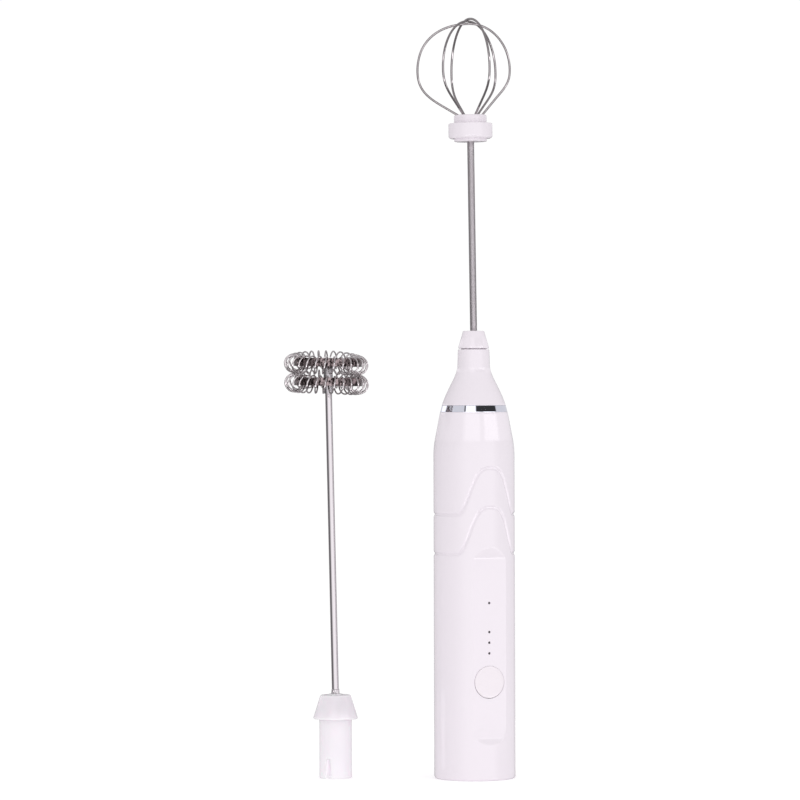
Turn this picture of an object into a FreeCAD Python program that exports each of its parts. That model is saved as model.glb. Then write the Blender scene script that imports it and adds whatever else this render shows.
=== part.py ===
"""Rechargeable hand frother with a balloon whisk fitted and a double spring whisk standing beside it.

The handle stands upright on its base. The origin is the centre of the base, +Z runs up the drive axis,
and the push button faces -Y. All sizes are in millimetres.
"""

import FreeCAD, Part

import math
import os

from FreeCAD import Rotation, Vector

# Handle shell
body_diameter = 28.0
body_height = 126.4
body_wall = 1.8
base_edge_radius = 0.8
shoulder_drop = 2.3          # how far the rim of the shell lies inside the full radius
shoulder_bend = 30.0         # radius that leads from the straight wall into the taper
shoulder_slope = 10.8        # degrees from the axis

# Wave grooves round the shell
groove_depth = 0.35
groove_cutter_radius = 0.6
groove_drop = 35.25          # from the rim down to the level part of the upper groove
groove_spacing = 13.5
wave_height = 16.1
wave_half_angle = 52.5
wave_crown = 3.0             # a higher power flattens the crest
wave_foot = 3.6              # a higher power draws the foot out longer

# Flat control panel in the front of the shell
panel_depth = 1.48
panel_wall = 1.6
panel_bottom = 14.15
panel_top = 76.1
panel_runout_bottom = 1.85
panel_runout_top = 4.0
panel_fade = 0.53            # how far the panel comes forward just above its lower run-out
panel_fade_height = 3.15
pad_margin = 1.5             # how far the thick wall behind the panel goes past its ends

# Push button and its switch
button_diameter = 11.0
button_height = 33.85
button_gap = 0.15
button_proud = 0.35
button_travel = 0.4
button_skin = 1.2
button_wall = 0.8
button_flange = 0.7
button_flange_thickness = 0.6
switch_size = 5.2
switch_thickness = 0.8
switch_floor = 0.1
plunger_proud = 0.6
plunger_radius = 1.2
plunger_boss_wall = 0.4

# Indicator lamps
lamp_hole_radius = 0.45
speed_lamp_heights = (43.7, 47.35, 51.0)
charge_lamp_height = 60.95
lens_width = 3.0
lens_thickness = 0.6
lens_recess = 0.35
lens_margin = 1.6

# Circuit board and charging socket
board_thickness = 1.0
board_gap = 1.77             # from the board's face to the inside of the panel
board_bottom = 2.2
board_top = 71.5
board_tab_half_width = 5.0
board_screw_length = 3.5
chip_thickness = 0.9
socket_width = 8.94
socket_thickness = 3.26
socket_length = 7.35
socket_skin = 0.3
socket_mouth = 0.9
mouth_flare = 0.8
mouth_depth = 0.5

# Closing cap of the base
cap_thickness = 2.0
cap_edge = 0.3
cap_skirt = 1.2
cap_height = 9.5
snap_ridge = 0.35
snap_height = 0.7            # half the ridge's height at its foot
snap_below_top = 2.5

# Battery cell
cell_diameter = 14.2
cell_can_length = 49.2
cell_nub = 0.8
tab_thickness = 0.2
tab_half_width = 2.0

# Inner carrier
carrier_wall = 1.2
strut_half_width = 2.5
floor_thickness = 4.0
bulkhead_thickness = 5.0
cushion_thickness = 0.5
plate_thickness = 2.3
plate_below_rim = 8.0        # underside of the motor plate, measured down from the shell's rim

# Motor
motor_diameter = 16.0
motor_length = 24.0
can_wall = 0.6
magnet_thickness = 1.4
magnet_length = 15.0
armature_gap = 0.4
magnet_half_gap = 3.2
shaft_radius = 1.0
bush_radius = 2.5
commutator_radius = 2.2
motor_screw_pitch = 4.5
terminal_x = 4.0
terminal_half_width = 1.0
terminal_half_thickness = 0.2
terminal_tail = 2.6
rear_bush_drop = 0.6
pole_half_width = 0.9
pole_shoe = 1.0
winding_half_width = 1.7
winding_clearance = 0.15

# Chrome ring and nose
ring_height = 2.3
ring_inset = 0.3
nose_height = 19.34
nose_rim_inset = 0.6
neck_length = 4.8
neck_edge = 0.3
neck_guide_depth = 9.0
neck_wall = 1.0
neck_draft = 0.15
skirt_wall = 1.2
seal_lip_height = 2.2
seal_flange_height = 1.2
flank_angle = 19.0
flank_fullness = 0.56
neck_fullness = 0.315

# Whisk plugs and the drive hub that turns them
barrel_diameter = 8.6
barrel_length = 19.9
barrel_wall = 1.1
barrel_bore_depth = 12.5
slot_width = 1.8
slot_height = 5.9
plug_gap = 0.3
plug_web = 1.5               # plastic left between the barrel's bore and the rod
balloon_flange_height = 6.1
balloon_flange_taper = 1.8
balloon_flange_edge = 0.35
spring_barrel_diameter = 11.2
spring_barrel_length = 20.5
spring_notch_mouth = 2.8
spring_notch_top = 1.2
spring_notch_height = 7.0
spring_flange_radius = 7.8
spring_flange_top_radius = 5.2
spring_flange_height = 8.25
spring_flange_edge = 0.4
spring_boss_wall = 1.2
spring_boss_height = 0.4
rod_diameter = 2.4
lean_azimuth = 156.0         # both rods stand a little off square in their plugs, to this side
balloon_rod_lean = 0.73
spring_rod_lean = 1.14
hub_stub_radius = 1.9
hub_clearance = 0.45         # below the fitted barrel
spindle_clearance = 2.0
shaft_engagement = 7.5

# Balloon whisk
balloon_rod_visible = 65.4
rod_in_hub = 5.5
wire_hub_diameter = 11.3
wire_hub_height = 9.2
collar_diameter = 15.2
collar_height = 5.25
collar_rise = 1.05           # the collar starts this far above the hub's underside
wire_diameter = 0.8
wire_root_radius = 4.2
wire_root_depth = 1.5
wire_root_angle = 49.5       # degrees from the axis
wire_root_straight = 6.5     # straight length of wire above the hub
loop_half_width = 16.0
loop_widest = 15.45          # height of the widest place above the hub
loop_height = 33.25
loop_step = 0.85             # each loop passes this far over the one before
loop_lean = 2.05             # the first loop is bent wider on one side by hand
loop_lean_angle = 9.0        # and its wire leaves the hub flatter on that side
loop_roundness = 0.55        # handle length that makes a quarter of an ellipse
bent_roundness = 0.62        # the same on the side where the first loop is bent wider
last_loop_pinch = 1.4        # the last loop is narrower by this on one side
first_loop_azimuth = -28.5
loop_angle = 60.0

# Double spring whisk
spring_place_x = -44.0
spring_place_y = 19.5
spring_slot_azimuth = 41.0
spring_rod_visible = 104.25
head_sleeve_wall = 0.4
head_sleeve_length = 12.2
band_middle = 7.4            # midway between the two bands, from the sleeve's lower end
coil_wire_diameter = 0.55
coil_major_radius = 11.4
coil_minor_diameter = 6.5
coil_turns = 28
coil_end_gap = 1.2           # degrees of the ring left open between the coil's two ends
coil_spacing = 6.7
coil_shift = 0.6             # the springs hang a little to one side of their bands,
coil_drop = 0.35             # a little low,
coil_saddle = 0.35           # and bent out of flat
coil_roll = 2.3
coil_pitch = 5.5
band_height = 2.8
band_thickness = 0.8
spoke_clearance = 0.25
band_roll = 1.0
ring_azimuth = -24.0

# Clearances
slide_fit = 0.1
loose_fit = 0.15
running_fit = 0.05
touch_gap = 0.05

# Fasteners
screw_head_radius = 1.4
screw_head_height = 1.0
screw_shank_radius = 0.8
lead_radius = 0.55

# ---------------------------------------------------------------- worked-out places
body_radius = body_diameter / 2
bore_radius = body_radius - body_wall
rim_radius = body_radius - shoulder_drop
rim_bore_radius = rim_radius - body_wall

shoulder_turn = math.radians(shoulder_slope)
taper_start_radius = body_radius - shoulder_bend * (1 - math.cos(shoulder_turn))
taper_start = body_height - (taper_start_radius - rim_radius) / math.tan(shoulder_turn)
bend_start = taper_start - shoulder_bend * math.sin(shoulder_turn)

panel_face = body_radius - panel_depth            # distance of the flat panel from the axis
panel_back = panel_face - panel_wall
board_front = panel_back - board_gap
board_back = board_front - board_thickness
board_half_width = math.sqrt((bore_radius - slide_fit) ** 2 - board_front ** 2) - 0.3
button_radius = button_diameter / 2

floor_bottom = cap_height
floor_top = floor_bottom + floor_thickness
cell_radius = cell_diameter / 2
cell_y = bore_radius - loose_fit - carrier_wall - slide_fit - cell_radius
cell_bottom = floor_top + tab_thickness
cell_top = cell_bottom + cell_can_length
nub_top = cell_top + cell_nub
bulkhead_bottom = nub_top + tab_thickness + cushion_thickness
bulkhead_top = bulkhead_bottom + bulkhead_thickness

motor_sleeve_radius = motor_diameter / 2 + slide_fit + carrier_wall
taper_room = (motor_sleeve_radius + slide_fit - rim_bore_radius) * (body_height - bend_start) / shoulder_drop
plate_bottom = body_height - max(plate_below_rim, taper_room + plate_thickness)
plate_top = plate_bottom + plate_thickness
motor_radius = motor_diameter / 2
motor_bottom = plate_bottom - motor_length
magnet_outer = motor_radius - can_wall - touch_gap
magnet_inner = magnet_outer - magnet_thickness
armature_radius = magnet_inner - armature_gap
core_hub_radius = shaft_radius + 0.9
magnet_bottom = motor_bottom + 4.0
magnet_top = magnet_bottom + magnet_length

ring_top = body_height + ring_height
skirt_radius = rim_bore_radius - slide_fit
nose_top = ring_top + nose_height
barrel_radius = barrel_diameter / 2
nose_bore_radius = barrel_radius + loose_fit
neck_radius = nose_bore_radius + neck_wall
nose_rim_radius = rim_radius - nose_rim_inset

plug_seat = nose_top + plug_gap
barrel_bottom = plug_seat - barrel_length
barrel_bore_radius = barrel_radius - barrel_wall
hub_spindle_radius = barrel_bore_radius - loose_fit
hub_flange_top = barrel_bottom - hub_clearance
hub_bottom = plate_top + 0.8
rod_radius = rod_diameter / 2

balloon_plug_top = plug_seat + balloon_flange_height
balloon_rod_top = balloon_plug_top + balloon_rod_visible
wire_hub_radius = wire_hub_diameter / 2
wire_hub_top = balloon_rod_top + wire_hub_height

spring_flange_top = spring_barrel_length + spring_flange_height
head_bottom = spring_flange_top + spring_rod_visible
head_centre = head_bottom + band_middle
coil_wire_radius = coil_wire_diameter / 2
coil_minor_radius = coil_minor_diameter / 2 - coil_wire_radius
sleeve_radius = rod_radius + head_sleeve_wall


# ---------------------------------------------------------------- plain shapes
def cylinder(radius, bottom, top, x=0.0, y=0.0):
    return Part.makeCylinder(radius, top - bottom, Vector(x, y, bottom))


def tube(outer, inner, bottom, top, x=0.0, y=0.0):
    return cylinder(outer, bottom, top, x, y).cut(cylinder(inner, bottom - 1, top + 1, x, y))


def block(x_low, x_high, y_low, y_high, z_low, z_high):
    return Part.makeBox(x_high - x_low, y_high - y_low, z_high - z_low, Vector(x_low, y_low, z_low))


def front_pin(radius, inner, outer, x, z):
    """A cylinder that points forwards, from inner to outer in front of the axis."""
    return Part.makeCylinder(radius, outer - inner, Vector(x, -inner, z), Vector(0, -1, 0))


def join(shapes):
    return shapes[0].multiFuse(shapes[1:]).removeSplitter()


def turned(edges):
    """Revolves a closed outline of edges in the XZ plane round the Z axis."""
    face = Part.Face(Part.Wire(Part.__sortEdges__(edges)))
    solid = face.revolve(Vector(0, 0, 0), Vector(0, 0, 1), 360)
    return solid if solid.Volume > 0 else solid.reversed()


def outline(points):
    """Straight edges through (radius, height) points, closed back to the first."""
    corners = [Vector(r, 0, z) for r, z in points]
    return [Part.makeLine(a, b) for a, b in zip(corners, corners[1:] + corners[:1])]


def path_edges(points):
    corners = [Vector(r, 0, z) for r, z in points]
    return [Part.makeLine(a, b) for a, b in zip(corners, corners[1:])]


def soften(shape, radius, wanted):
    """Rounds the edges that wanted(edge) picks."""
    edges = [e for e in shape.Edges if wanted(e)]
    return shape.makeFillet(radius, edges) if edges else shape


def level_circle(height, radius):
    """Picks the full circle at that height with that radius."""
    def test(edge):
        box = edge.BoundBox
        flat = abs(box.ZMin - height) < 1e-4 and abs(box.ZMax - height) < 1e-4
        return flat and abs(box.XLength / 2 - radius) < 1e-3 and len(edge.Vertexes) == 1
    return test


def lead(points, radius):
    """A wire of straight runs joined by tangent arcs, each as large as its two runs allow."""
    points = [Vector(*p) for p in points]
    edges, start = [], points[0]
    for before, corner, after in zip(points, points[1:], points[2:]):
        back, on = before - corner, after - corner
        trim = 0.45 * min(back.Length, on.Length)
        back.normalize()
        on.normalize()
        enter, leave = corner + back * trim, corner + on * trim
        bend = trim / math.tan((math.pi - back.getAngle(on)) / 2)
        across = (back + on).normalize()
        reach = math.hypot(trim, bend) - bend
        edges.append(Part.makeLine(start, enter))
        edges.append(Part.Arc(enter, corner + across * reach, leave).toShape())
        start = leave
    edges.append(Part.makeLine(start, points[-1]))
    section = Part.Wire([Part.makeCircle(radius, points[0], points[1] - points[0])])
    return Part.Wire(edges).makePipeShell([section], True, False)


# ---------------------------------------------------------------- handle shell
def wave_level(angle, level):
    """Height of a groove at an angle in degrees from the front."""
    share = min(abs(angle) / wave_half_angle, 1.0)
    return level + wave_height * (1 - share ** wave_crown) ** wave_foot


def wave_cutter(level):
    """The round-nosed tool that cuts one groove: a closed tube that follows the wave."""
    track = body_radius + groove_cutter_radius - groove_depth
    steps = 144
    points = []
    for i in range(steps):
        angle = 360.0 * i / steps - 180.0
        turn = math.radians(angle - 90.0)
        points.append(Vector(track * math.cos(turn), track * math.sin(turn), wave_level(angle, level)))
    curve = Part.BSplineCurve()
    curve.interpolate(points, PeriodicFlag=True)
    start, heading = curve.value(curve.FirstParameter), curve.tangent(curve.FirstParameter)[0]
    section = Part.Wire([Part.makeCircle(groove_cutter_radius, start, heading)])
    return Part.Wire([curve.toShape()]).makePipeShell([section], True, True)


def panel_cutter():
    """Cuts the flat panel, which slopes out at each end. The lower end first comes forward a little."""
    clear = panel_depth + 1.0
    top_slope = panel_runout_top / panel_depth
    bottom_slope = panel_runout_bottom / (panel_depth - panel_fade)
    corners = [
        (-panel_face, panel_bottom + panel_fade_height),
        (-panel_face, panel_top),
        (-panel_face - clear, panel_top + clear * top_slope),
        (-panel_face - clear, panel_bottom - (clear - panel_fade) * bottom_slope),
        (-panel_face - panel_fade, panel_bottom),
    ]
    wire = Part.makePolygon([Vector(-body_radius, y, z) for y, z in corners + corners[:1]])
    return Part.Face(wire).extrude(Vector(body_diameter, 0, 0))


def body_shell():
    half_in = shoulder_bend * (1 - math.cos(shoulder_turn / 2))
    half_up = shoulder_bend * math.sin(shoulder_turn / 2)
    bend = Part.Arc(
        Vector(body_radius, 0, bend_start),
        Vector(body_radius - half_in, 0, bend_start + half_up),
        Vector(taper_start_radius, 0, taper_start),
    ).toShape()
    sides = path_edges([(taper_start_radius, taper_start), (rim_radius, body_height),
                        (rim_bore_radius, body_height), (bore_radius, bend_start), (bore_radius, 0)])
    foot = path_edges([(bore_radius, 0), (body_radius, 0), (body_radius, bend_start)])
    shell = turned([bend] + sides + foot)
    shell = soften(shell, base_edge_radius, level_circle(0, body_radius))

    pad_low = panel_bottom - panel_runout_bottom - pad_margin
    pad_high = panel_top + panel_runout_top + pad_margin
    pad = cylinder(bore_radius + body_wall / 2, pad_low, pad_high)
    pad = pad.common(block(-body_radius, body_radius, -body_radius, -panel_back, pad_low, pad_high))
    shell = shell.fuse(pad).cut(panel_cutter())

    flange_radius = button_radius + button_flange
    shell = shell.cut(front_pin(button_radius + button_gap, 0, body_radius + 1, 0, button_height))
    shell = shell.cut(front_pin(flange_radius + 3 * button_gap, 0, panel_back, 0, button_height))
    for height in speed_lamp_heights + (charge_lamp_height,):
        shell = shell.cut(front_pin(lamp_hole_radius, 0, body_radius + 1, 0, height))

    shell = shell.cut(snap_ring(bore_radius, snap_height + loose_fit))
    for level in (body_height - groove_drop, body_height - groove_drop - groove_spacing):
        shell = shell.cut(wave_cutter(level))
    return shell


# ---------------------------------------------------------------- base cap and charging socket
socket_y = -(board_back - socket_thickness / 2)


def slot_prism(width, thickness, bottom, top, y):
    """An upright prism with a stadium section, such as the charging socket has."""
    half = thickness / 2
    middle = block(-width / 2 + half, width / 2 - half, y - half, y + half, bottom, top)
    ends = [cylinder(half, bottom, top, side * (width / 2 - half), y) for side in (-1, 1)]
    return join([middle] + ends)


def snap_ring(radius, half_height):
    """The ridge round the cap's skirt, or the groove in the shell that it snaps into."""
    middle = cap_height - snap_below_top
    tip = half_height - snap_ridge
    return turned(outline([(radius - 0.2, middle - half_height), (radius - 0.2, middle + half_height),
                           (radius + snap_ridge, middle + tip), (radius + snap_ridge, middle - tip)]))


def base_cap():
    outer = bore_radius - slide_fit
    disc = soften(cylinder(outer, 0, cap_height - 0.2), cap_edge, level_circle(0, outer))
    disc = disc.cut(cylinder(outer - cap_skirt, cap_thickness, cap_height))
    skirt = tube(outer, outer - cap_skirt, cap_thickness, cap_height)
    ridge = snap_ring(outer, snap_height)
    mouth_width, mouth_thickness = socket_width + 2 * loose_fit, socket_thickness + 2 * loose_fit
    mouth = slot_prism(mouth_width, mouth_thickness, -1, cap_height, socket_y)
    flare = 2 * mouth_flare
    counterbore = slot_prism(socket_width + flare, socket_thickness + flare, -1, mouth_depth, socket_y)
    window = block(-board_tab_half_width - loose_fit, board_tab_half_width + loose_fit,
                   -board_front - loose_fit, -board_back, cap_thickness - 0.5, cap_height + 1)
    return join([disc, skirt, ridge]).cut(mouth).cut(counterbore).cut(window)


def charge_socket_shell():
    socket_end = socket_mouth + socket_length
    outer = slot_prism(socket_width, socket_thickness, socket_mouth, socket_end, socket_y)
    inner = slot_prism(socket_width - 2 * socket_skin, socket_thickness - 2 * socket_skin,
                       socket_mouth - 1, socket_mouth + socket_length - 1.0, socket_y)
    return outer.cut(inner)


def charge_socket_tongue():
    half_width = socket_width / 2 - socket_skin - 0.8
    top = socket_mouth + socket_length - 1.0
    return block(-half_width, half_width, socket_y - 0.35, socket_y + 0.35, socket_mouth + 0.7, top)


# ---------------------------------------------------------------- push button and lamps
def button_cap():
    front = panel_face + button_proud
    back = panel_back - touch_gap
    cap = front_pin(button_radius, back, front, 0, button_height)
    cap = soften(cap, button_proud * 0.9, lambda e: e.BoundBox.YMax < -front + 1e-4)
    flange_radius = button_radius + button_flange
    flange = front_pin(flange_radius, back - button_flange_thickness, back, 0, button_height)
    inside = front - button_skin
    open_end = back - button_flange_thickness - 1
    hollow = front_pin(button_radius - button_wall, open_end, inside, 0, button_height)
    boss_radius = plunger_radius + plunger_boss_wall
    boss = front_pin(boss_radius, plunger_tip + touch_gap, inside, 0, button_height)
    return join([cap, flange]).cut(hollow).fuse(boss).removeSplitter()


plunger_tip = board_front + switch_thickness + plunger_proud


def switch_body():
    half = switch_size / 2
    low, high = button_height - half, button_height + half
    case = block(-half, half, -board_front - switch_thickness, -board_front, low, high)
    well_floor = board_front + switch_floor
    well = front_pin(plunger_radius + slide_fit, well_floor, plunger_tip, 0, button_height)
    return case.cut(well)


def switch_plunger():
    inner_end = board_front + switch_floor + button_travel + touch_gap
    return front_pin(plunger_radius, inner_end, plunger_tip, 0, button_height)


def lens_strip(heights):
    """A clear strip behind the panel with one pin in each lamp hole."""
    strip = block(-lens_width / 2, lens_width / 2, -panel_back, -panel_back + lens_thickness,
                  min(heights) - lens_margin, max(heights) + lens_margin)
    pin_radius, pin_tip = lamp_hole_radius - running_fit, panel_face - lens_recess
    pin_foot = panel_back - lens_thickness
    pins = [front_pin(pin_radius, pin_foot, pin_tip, 0, z) for z in heights]
    return join([strip] + pins)


# ---------------------------------------------------------------- circuit board
def circuit_board():
    front, back = -board_front, -board_back
    wide = block(-board_half_width, board_half_width, front, back, floor_bottom + 0.3, board_top)
    tab = block(-board_tab_half_width, board_tab_half_width, front, back, board_bottom, board_top)
    board = join([wide, tab])
    for height in board_screw_heights:
        board = board.cut(front_pin(screw_shank_radius, 0, body_radius, 0, height))
    return board


board_screw_heights = ((floor_bottom + floor_top) / 2, (bulkhead_bottom + bulkhead_top) / 2)


def board_screws():
    screws = []
    for height in board_screw_heights:
        head = front_pin(screw_head_radius, board_front, board_front + screw_head_height, 0, height)
        shank = front_pin(screw_shank_radius, board_back - board_screw_length, board_front, 0, height)
        screws.append(join([head, shank]))
    return Part.makeCompound(screws)


def indicator_leds():
    lamps = [block(-0.4, 0.4, -board_front - 0.6, -board_front, z - 0.8, z + 0.8)
             for z in speed_lamp_heights + (charge_lamp_height,)]
    return Part.makeCompound(lamps)


def control_chips():
    """Charger chip, motor driver and storage coil on the board, clear of the lamps and the button."""
    below = button_height - button_radius - button_flange
    between = charge_lamp_height - 7.0

    def chip(x_low, x_high, z_low, z_high):
        return block(x_low, x_high, -board_front - chip_thickness, -board_front, z_low, z_high)

    charger = chip(-2.0, 2.0, below - 6.2, below - 1.2)
    driver = chip(2.0, 4.6, between, between + 4.0)
    inductor = chip(-4.6, -2.0, between, between + 2.6)
    return Part.makeCompound([charger, driver, inductor])


# ---------------------------------------------------------------- inner carrier and battery cell
def inner_carrier():
    outer = bore_radius - slide_fit
    channel_half = cell_radius + slide_fit + carrier_wall
    channel_inner = cell_radius + slide_fit
    channel = join([
        cylinder(channel_half, floor_bottom, bulkhead_top, 0, cell_y),
        block(-channel_half, channel_half, -board_back, cell_y, floor_bottom, bulkhead_top),
    ])
    hollow = join([
        cylinder(channel_inner, floor_top, bulkhead_bottom, 0, cell_y),
        block(-channel_inner, channel_inner, -board_back - 1, cell_y, floor_top, bulkhead_bottom),
    ])
    floor = cylinder(outer, floor_bottom, floor_top)
    bulkhead = cylinder(outer, bulkhead_bottom, bulkhead_top)
    ahead = block(-body_radius, body_radius, -body_radius, -board_back, floor_bottom, board_top + 1)
    cradle = join([channel, floor, bulkhead]).cut(hollow).cut(ahead)
    cradle = cradle.common(cylinder(outer, 0, body_height))

    sleeve_outer = motor_sleeve_radius
    sleeve = tube(sleeve_outer, motor_radius + slide_fit, motor_bottom - 2.0, plate_bottom)
    plate_radius = max(skirt_radius, sleeve_outer)
    plate = cylinder(plate_radius, plate_bottom, plate_top)
    plate = plate.cut(cylinder(bush_radius + slide_fit, plate_bottom - 1, plate_top + 1))
    struts = []
    for side in (-1, 1):
        hole = cylinder(screw_shank_radius, plate_bottom - 1, plate_top + 1, side * motor_screw_pitch)
        plate = plate.cut(hole)
        x_low, x_high = sorted((side * (motor_radius + 2 * slide_fit), side * (sleeve_outer - 0.1)))
        strut = block(x_low, x_high, -strut_half_width, strut_half_width, bulkhead_top - 1.0, motor_bottom)
        struts.append(strut)
    carrier = join([cradle, sleeve, plate] + struts)
    for height in board_screw_heights:
        hole_end = board_back - board_screw_length
        carrier = carrier.cut(front_pin(screw_shank_radius, hole_end, board_front, 0, height))
    return carrier


def battery_cell():
    can = cylinder(cell_radius, cell_bottom, cell_top, 0, cell_y)
    can = soften(can, 0.6, lambda e: e.BoundBox.ZLength < 1e-4)
    nub = cylinder(cell_radius * 0.42, cell_top, nub_top, 0, cell_y)
    return join([can, nub])


def cell_tabs():
    """Nickel strips from the two ends of the cell to the back of the board."""
    strips = [block(-tab_half_width, tab_half_width, -board_back, cell_y + 2.5, low, low + tab_thickness)
              for low in (floor_top, nub_top)]
    return Part.makeCompound(strips)


def cell_cushion():
    return cylinder(cell_radius * 0.7, bulkhead_bottom - cushion_thickness, bulkhead_bottom, 0, cell_y)


# ---------------------------------------------------------------- motor
def motor_can():
    can = cylinder(motor_radius, motor_bottom, plate_bottom)
    can = soften(can, can_wall, level_circle(plate_bottom, motor_radius))
    can = can.cut(cylinder(motor_radius - can_wall, motor_bottom - 1, plate_bottom - can_wall))
    can = can.cut(cylinder(bush_radius, motor_bottom, plate_bottom + 1))
    for side in (-1, 1):
        hole = cylinder(screw_shank_radius, motor_bottom, plate_bottom + 1, side * motor_screw_pitch)
        can = can.cut(hole)
    return can


end_cap_bottom = motor_bottom - 1.0
end_cap_top = motor_bottom + 1.6
rear_bush_radius = bush_radius - 0.3


def terminal_strip(side, bottom, top):
    x = side * terminal_x
    return block(x - terminal_half_thickness, x + terminal_half_thickness,
                 -terminal_half_width, terminal_half_width, bottom, top)


def motor_end_cap():
    cap = cylinder(motor_radius - can_wall, end_cap_bottom, end_cap_top)
    cap = cap.cut(cylinder(rear_bush_radius, end_cap_bottom - 1, end_cap_top + 1))
    for side in (-1, 1):
        cap = cap.cut(terminal_strip(side, end_cap_bottom - 1, end_cap_top + 1))
    return cap


def motor_front_bush():
    return tube(bush_radius, shaft_radius + running_fit, plate_bottom - 2.0, plate_top - 0.5)


def motor_rear_bush():
    bottom = end_cap_bottom - rear_bush_drop
    return tube(rear_bush_radius, shaft_radius + running_fit, bottom, end_cap_top)


def motor_terminals():
    """Each terminal runs through the end cap and carries its brush against the commutator."""
    parts = []
    for side in (-1, 1):
        stem = terminal_strip(side, end_cap_bottom - terminal_tail, end_cap_top + 1.6)
        reach = sorted((side * terminal_x, side * (commutator_radius + slide_fit)))
        arm = block(reach[0], reach[1], -0.6, 0.6, end_cap_top + 0.8, end_cap_top + 1.6)
        parts.append(join([stem, arm]))
    return Part.makeCompound(parts)


def motor_magnets():
    ring = tube(magnet_outer, magnet_inner, magnet_bottom, magnet_top)
    arcs = []
    for side in (-1, 1):
        reach = body_radius
        x_low, x_high = sorted((0, side * reach))
        gap_wall = block(-reach, reach, -magnet_half_gap, magnet_half_gap, magnet_bottom, magnet_top)
        half = block(x_low, x_high, -reach, reach, magnet_bottom, magnet_top)
        turned_gap = gap_wall.rotate(Vector(0, 0, 0), Vector(0, 0, 1), 90)
        arcs.append(ring.common(half).cut(turned_gap))
    return Part.makeCompound(arcs)


def motor_shaft():
    return cylinder(shaft_radius, end_cap_bottom - rear_bush_drop, barrel_bottom + shaft_engagement)


def pole_arm(index, half_width, inner, outer, bottom, top):
    arm = block(inner, outer, -half_width, half_width, bottom, top)
    return arm.rotate(Vector(0, 0, 0), Vector(0, 0, 1), 90 + 120 * index)


def armature_core():
    low, high = magnet_bottom + 1.0, magnet_top - 1.0
    rim = tube(armature_radius, armature_radius - pole_shoe, low, high)
    parts = [cylinder(core_hub_radius, low, high), rim]
    for index in range(3):
        parts.append(pole_arm(index, pole_half_width, 0, armature_radius - pole_shoe / 2, low, high))
    core = join(parts)
    for index in range(3):
        slit = block(armature_radius - 1.5 * pole_shoe, armature_radius + 1, -0.5, 0.5, low - 1, high + 1)
        core = core.cut(slit.rotate(Vector(0, 0, 0), Vector(0, 0, 1), 30 + 120 * index))
    return core.cut(cylinder(shaft_radius, low - 1, high + 1))


def armature_windings():
    core = armature_core()
    low, high = magnet_bottom + 0.2, magnet_top - 0.2
    keep_out = cylinder(core_hub_radius, low - 1, high + 1)
    inner, outer = core_hub_radius + 0.2, armature_radius - pole_shoe - winding_clearance
    coils = []
    for index in range(3):
        coil = pole_arm(index, winding_half_width, inner, outer, low, high)
        coils.append(coil.cut(core).cut(keep_out))
    return Part.makeCompound(coils)


def commutator():
    return tube(commutator_radius, shaft_radius, end_cap_top + 0.5, magnet_bottom + 0.2)


def motor_screws():
    screws = []
    for side in (-1, 1):
        x = side * motor_screw_pitch
        head = cylinder(screw_head_radius, plate_top, plate_top + screw_head_height, x)
        shank = cylinder(screw_shank_radius, plate_bottom - 1.5, plate_top, x)
        screws.append(join([head, shank]))
    return Part.makeCompound(screws)


def motor_leads():
    """Two insulated wires from the back of the board's top edge to the motor's terminals."""
    start_height = board_top - 0.9
    end = end_cap_bottom - terminal_tail
    wires = []
    for side in (-1, 1):
        x = side * 3.0
        route = [
            (x, -board_back, start_height),
            (x, -board_back + 3.0, start_height),
            (x, -board_back * 0.35, start_height + 0.45 * (end - start_height)),
            (side * terminal_x, 0, start_height + 0.75 * (end - start_height)),
            (side * terminal_x, 0, end),
        ]
        wires.append(lead(route, lead_radius))
    return Part.makeCompound(wires)


# ---------------------------------------------------------------- ring, nose and seal
def chrome_ring():
    outer_low = rim_radius - ring_inset
    outer_high = nose_rim_radius - 0.05
    bore = skirt_radius + touch_gap
    section = [(bore, body_height), (outer_low, body_height), (outer_high, ring_top), (bore, ring_top)]
    return turned(outline(section))


def nose_cone():
    flank_height = nose_height - neck_length
    rim = Vector(nose_rim_radius, 0, ring_top)
    neck_foot = Vector(neck_radius + neck_draft, 0, ring_top + flank_height)
    lean = math.radians(flank_angle)
    flank = Part.BezierCurve()
    flank.setPoles([
        rim,
        rim + Vector(-math.sin(lean), 0, math.cos(lean)) * flank_height * flank_fullness,
        neck_foot - Vector(0, 0, flank_height * neck_fullness),
        neck_foot,
    ])
    cavity = skirt_radius - skirt_wall
    guide_bottom = nose_top - neck_guide_depth
    sides = path_edges([
        (neck_radius + neck_draft, ring_top + flank_height), (neck_radius, nose_top),
        (nose_bore_radius, nose_top), (nose_bore_radius, guide_bottom),
        (cavity, ring_top), (cavity, plate_top), (skirt_radius, plate_top),
        (skirt_radius, ring_top), (nose_rim_radius, ring_top),
    ])
    nose = turned([flank.toShape()] + sides)
    return soften(nose, neck_edge, level_circle(nose_top, neck_radius))


def shaft_seal():
    lip = hub_stub_radius + 0.2
    outer = motor_screw_pitch - screw_head_radius - slide_fit
    lip_top = plate_top + seal_lip_height
    return turned(outline([
        (lip + 0.3, plate_top), (outer, plate_top), (outer, plate_top + seal_flange_height),
        (lip + 0.4, lip_top), (lip, lip_top),
    ]))


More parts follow.
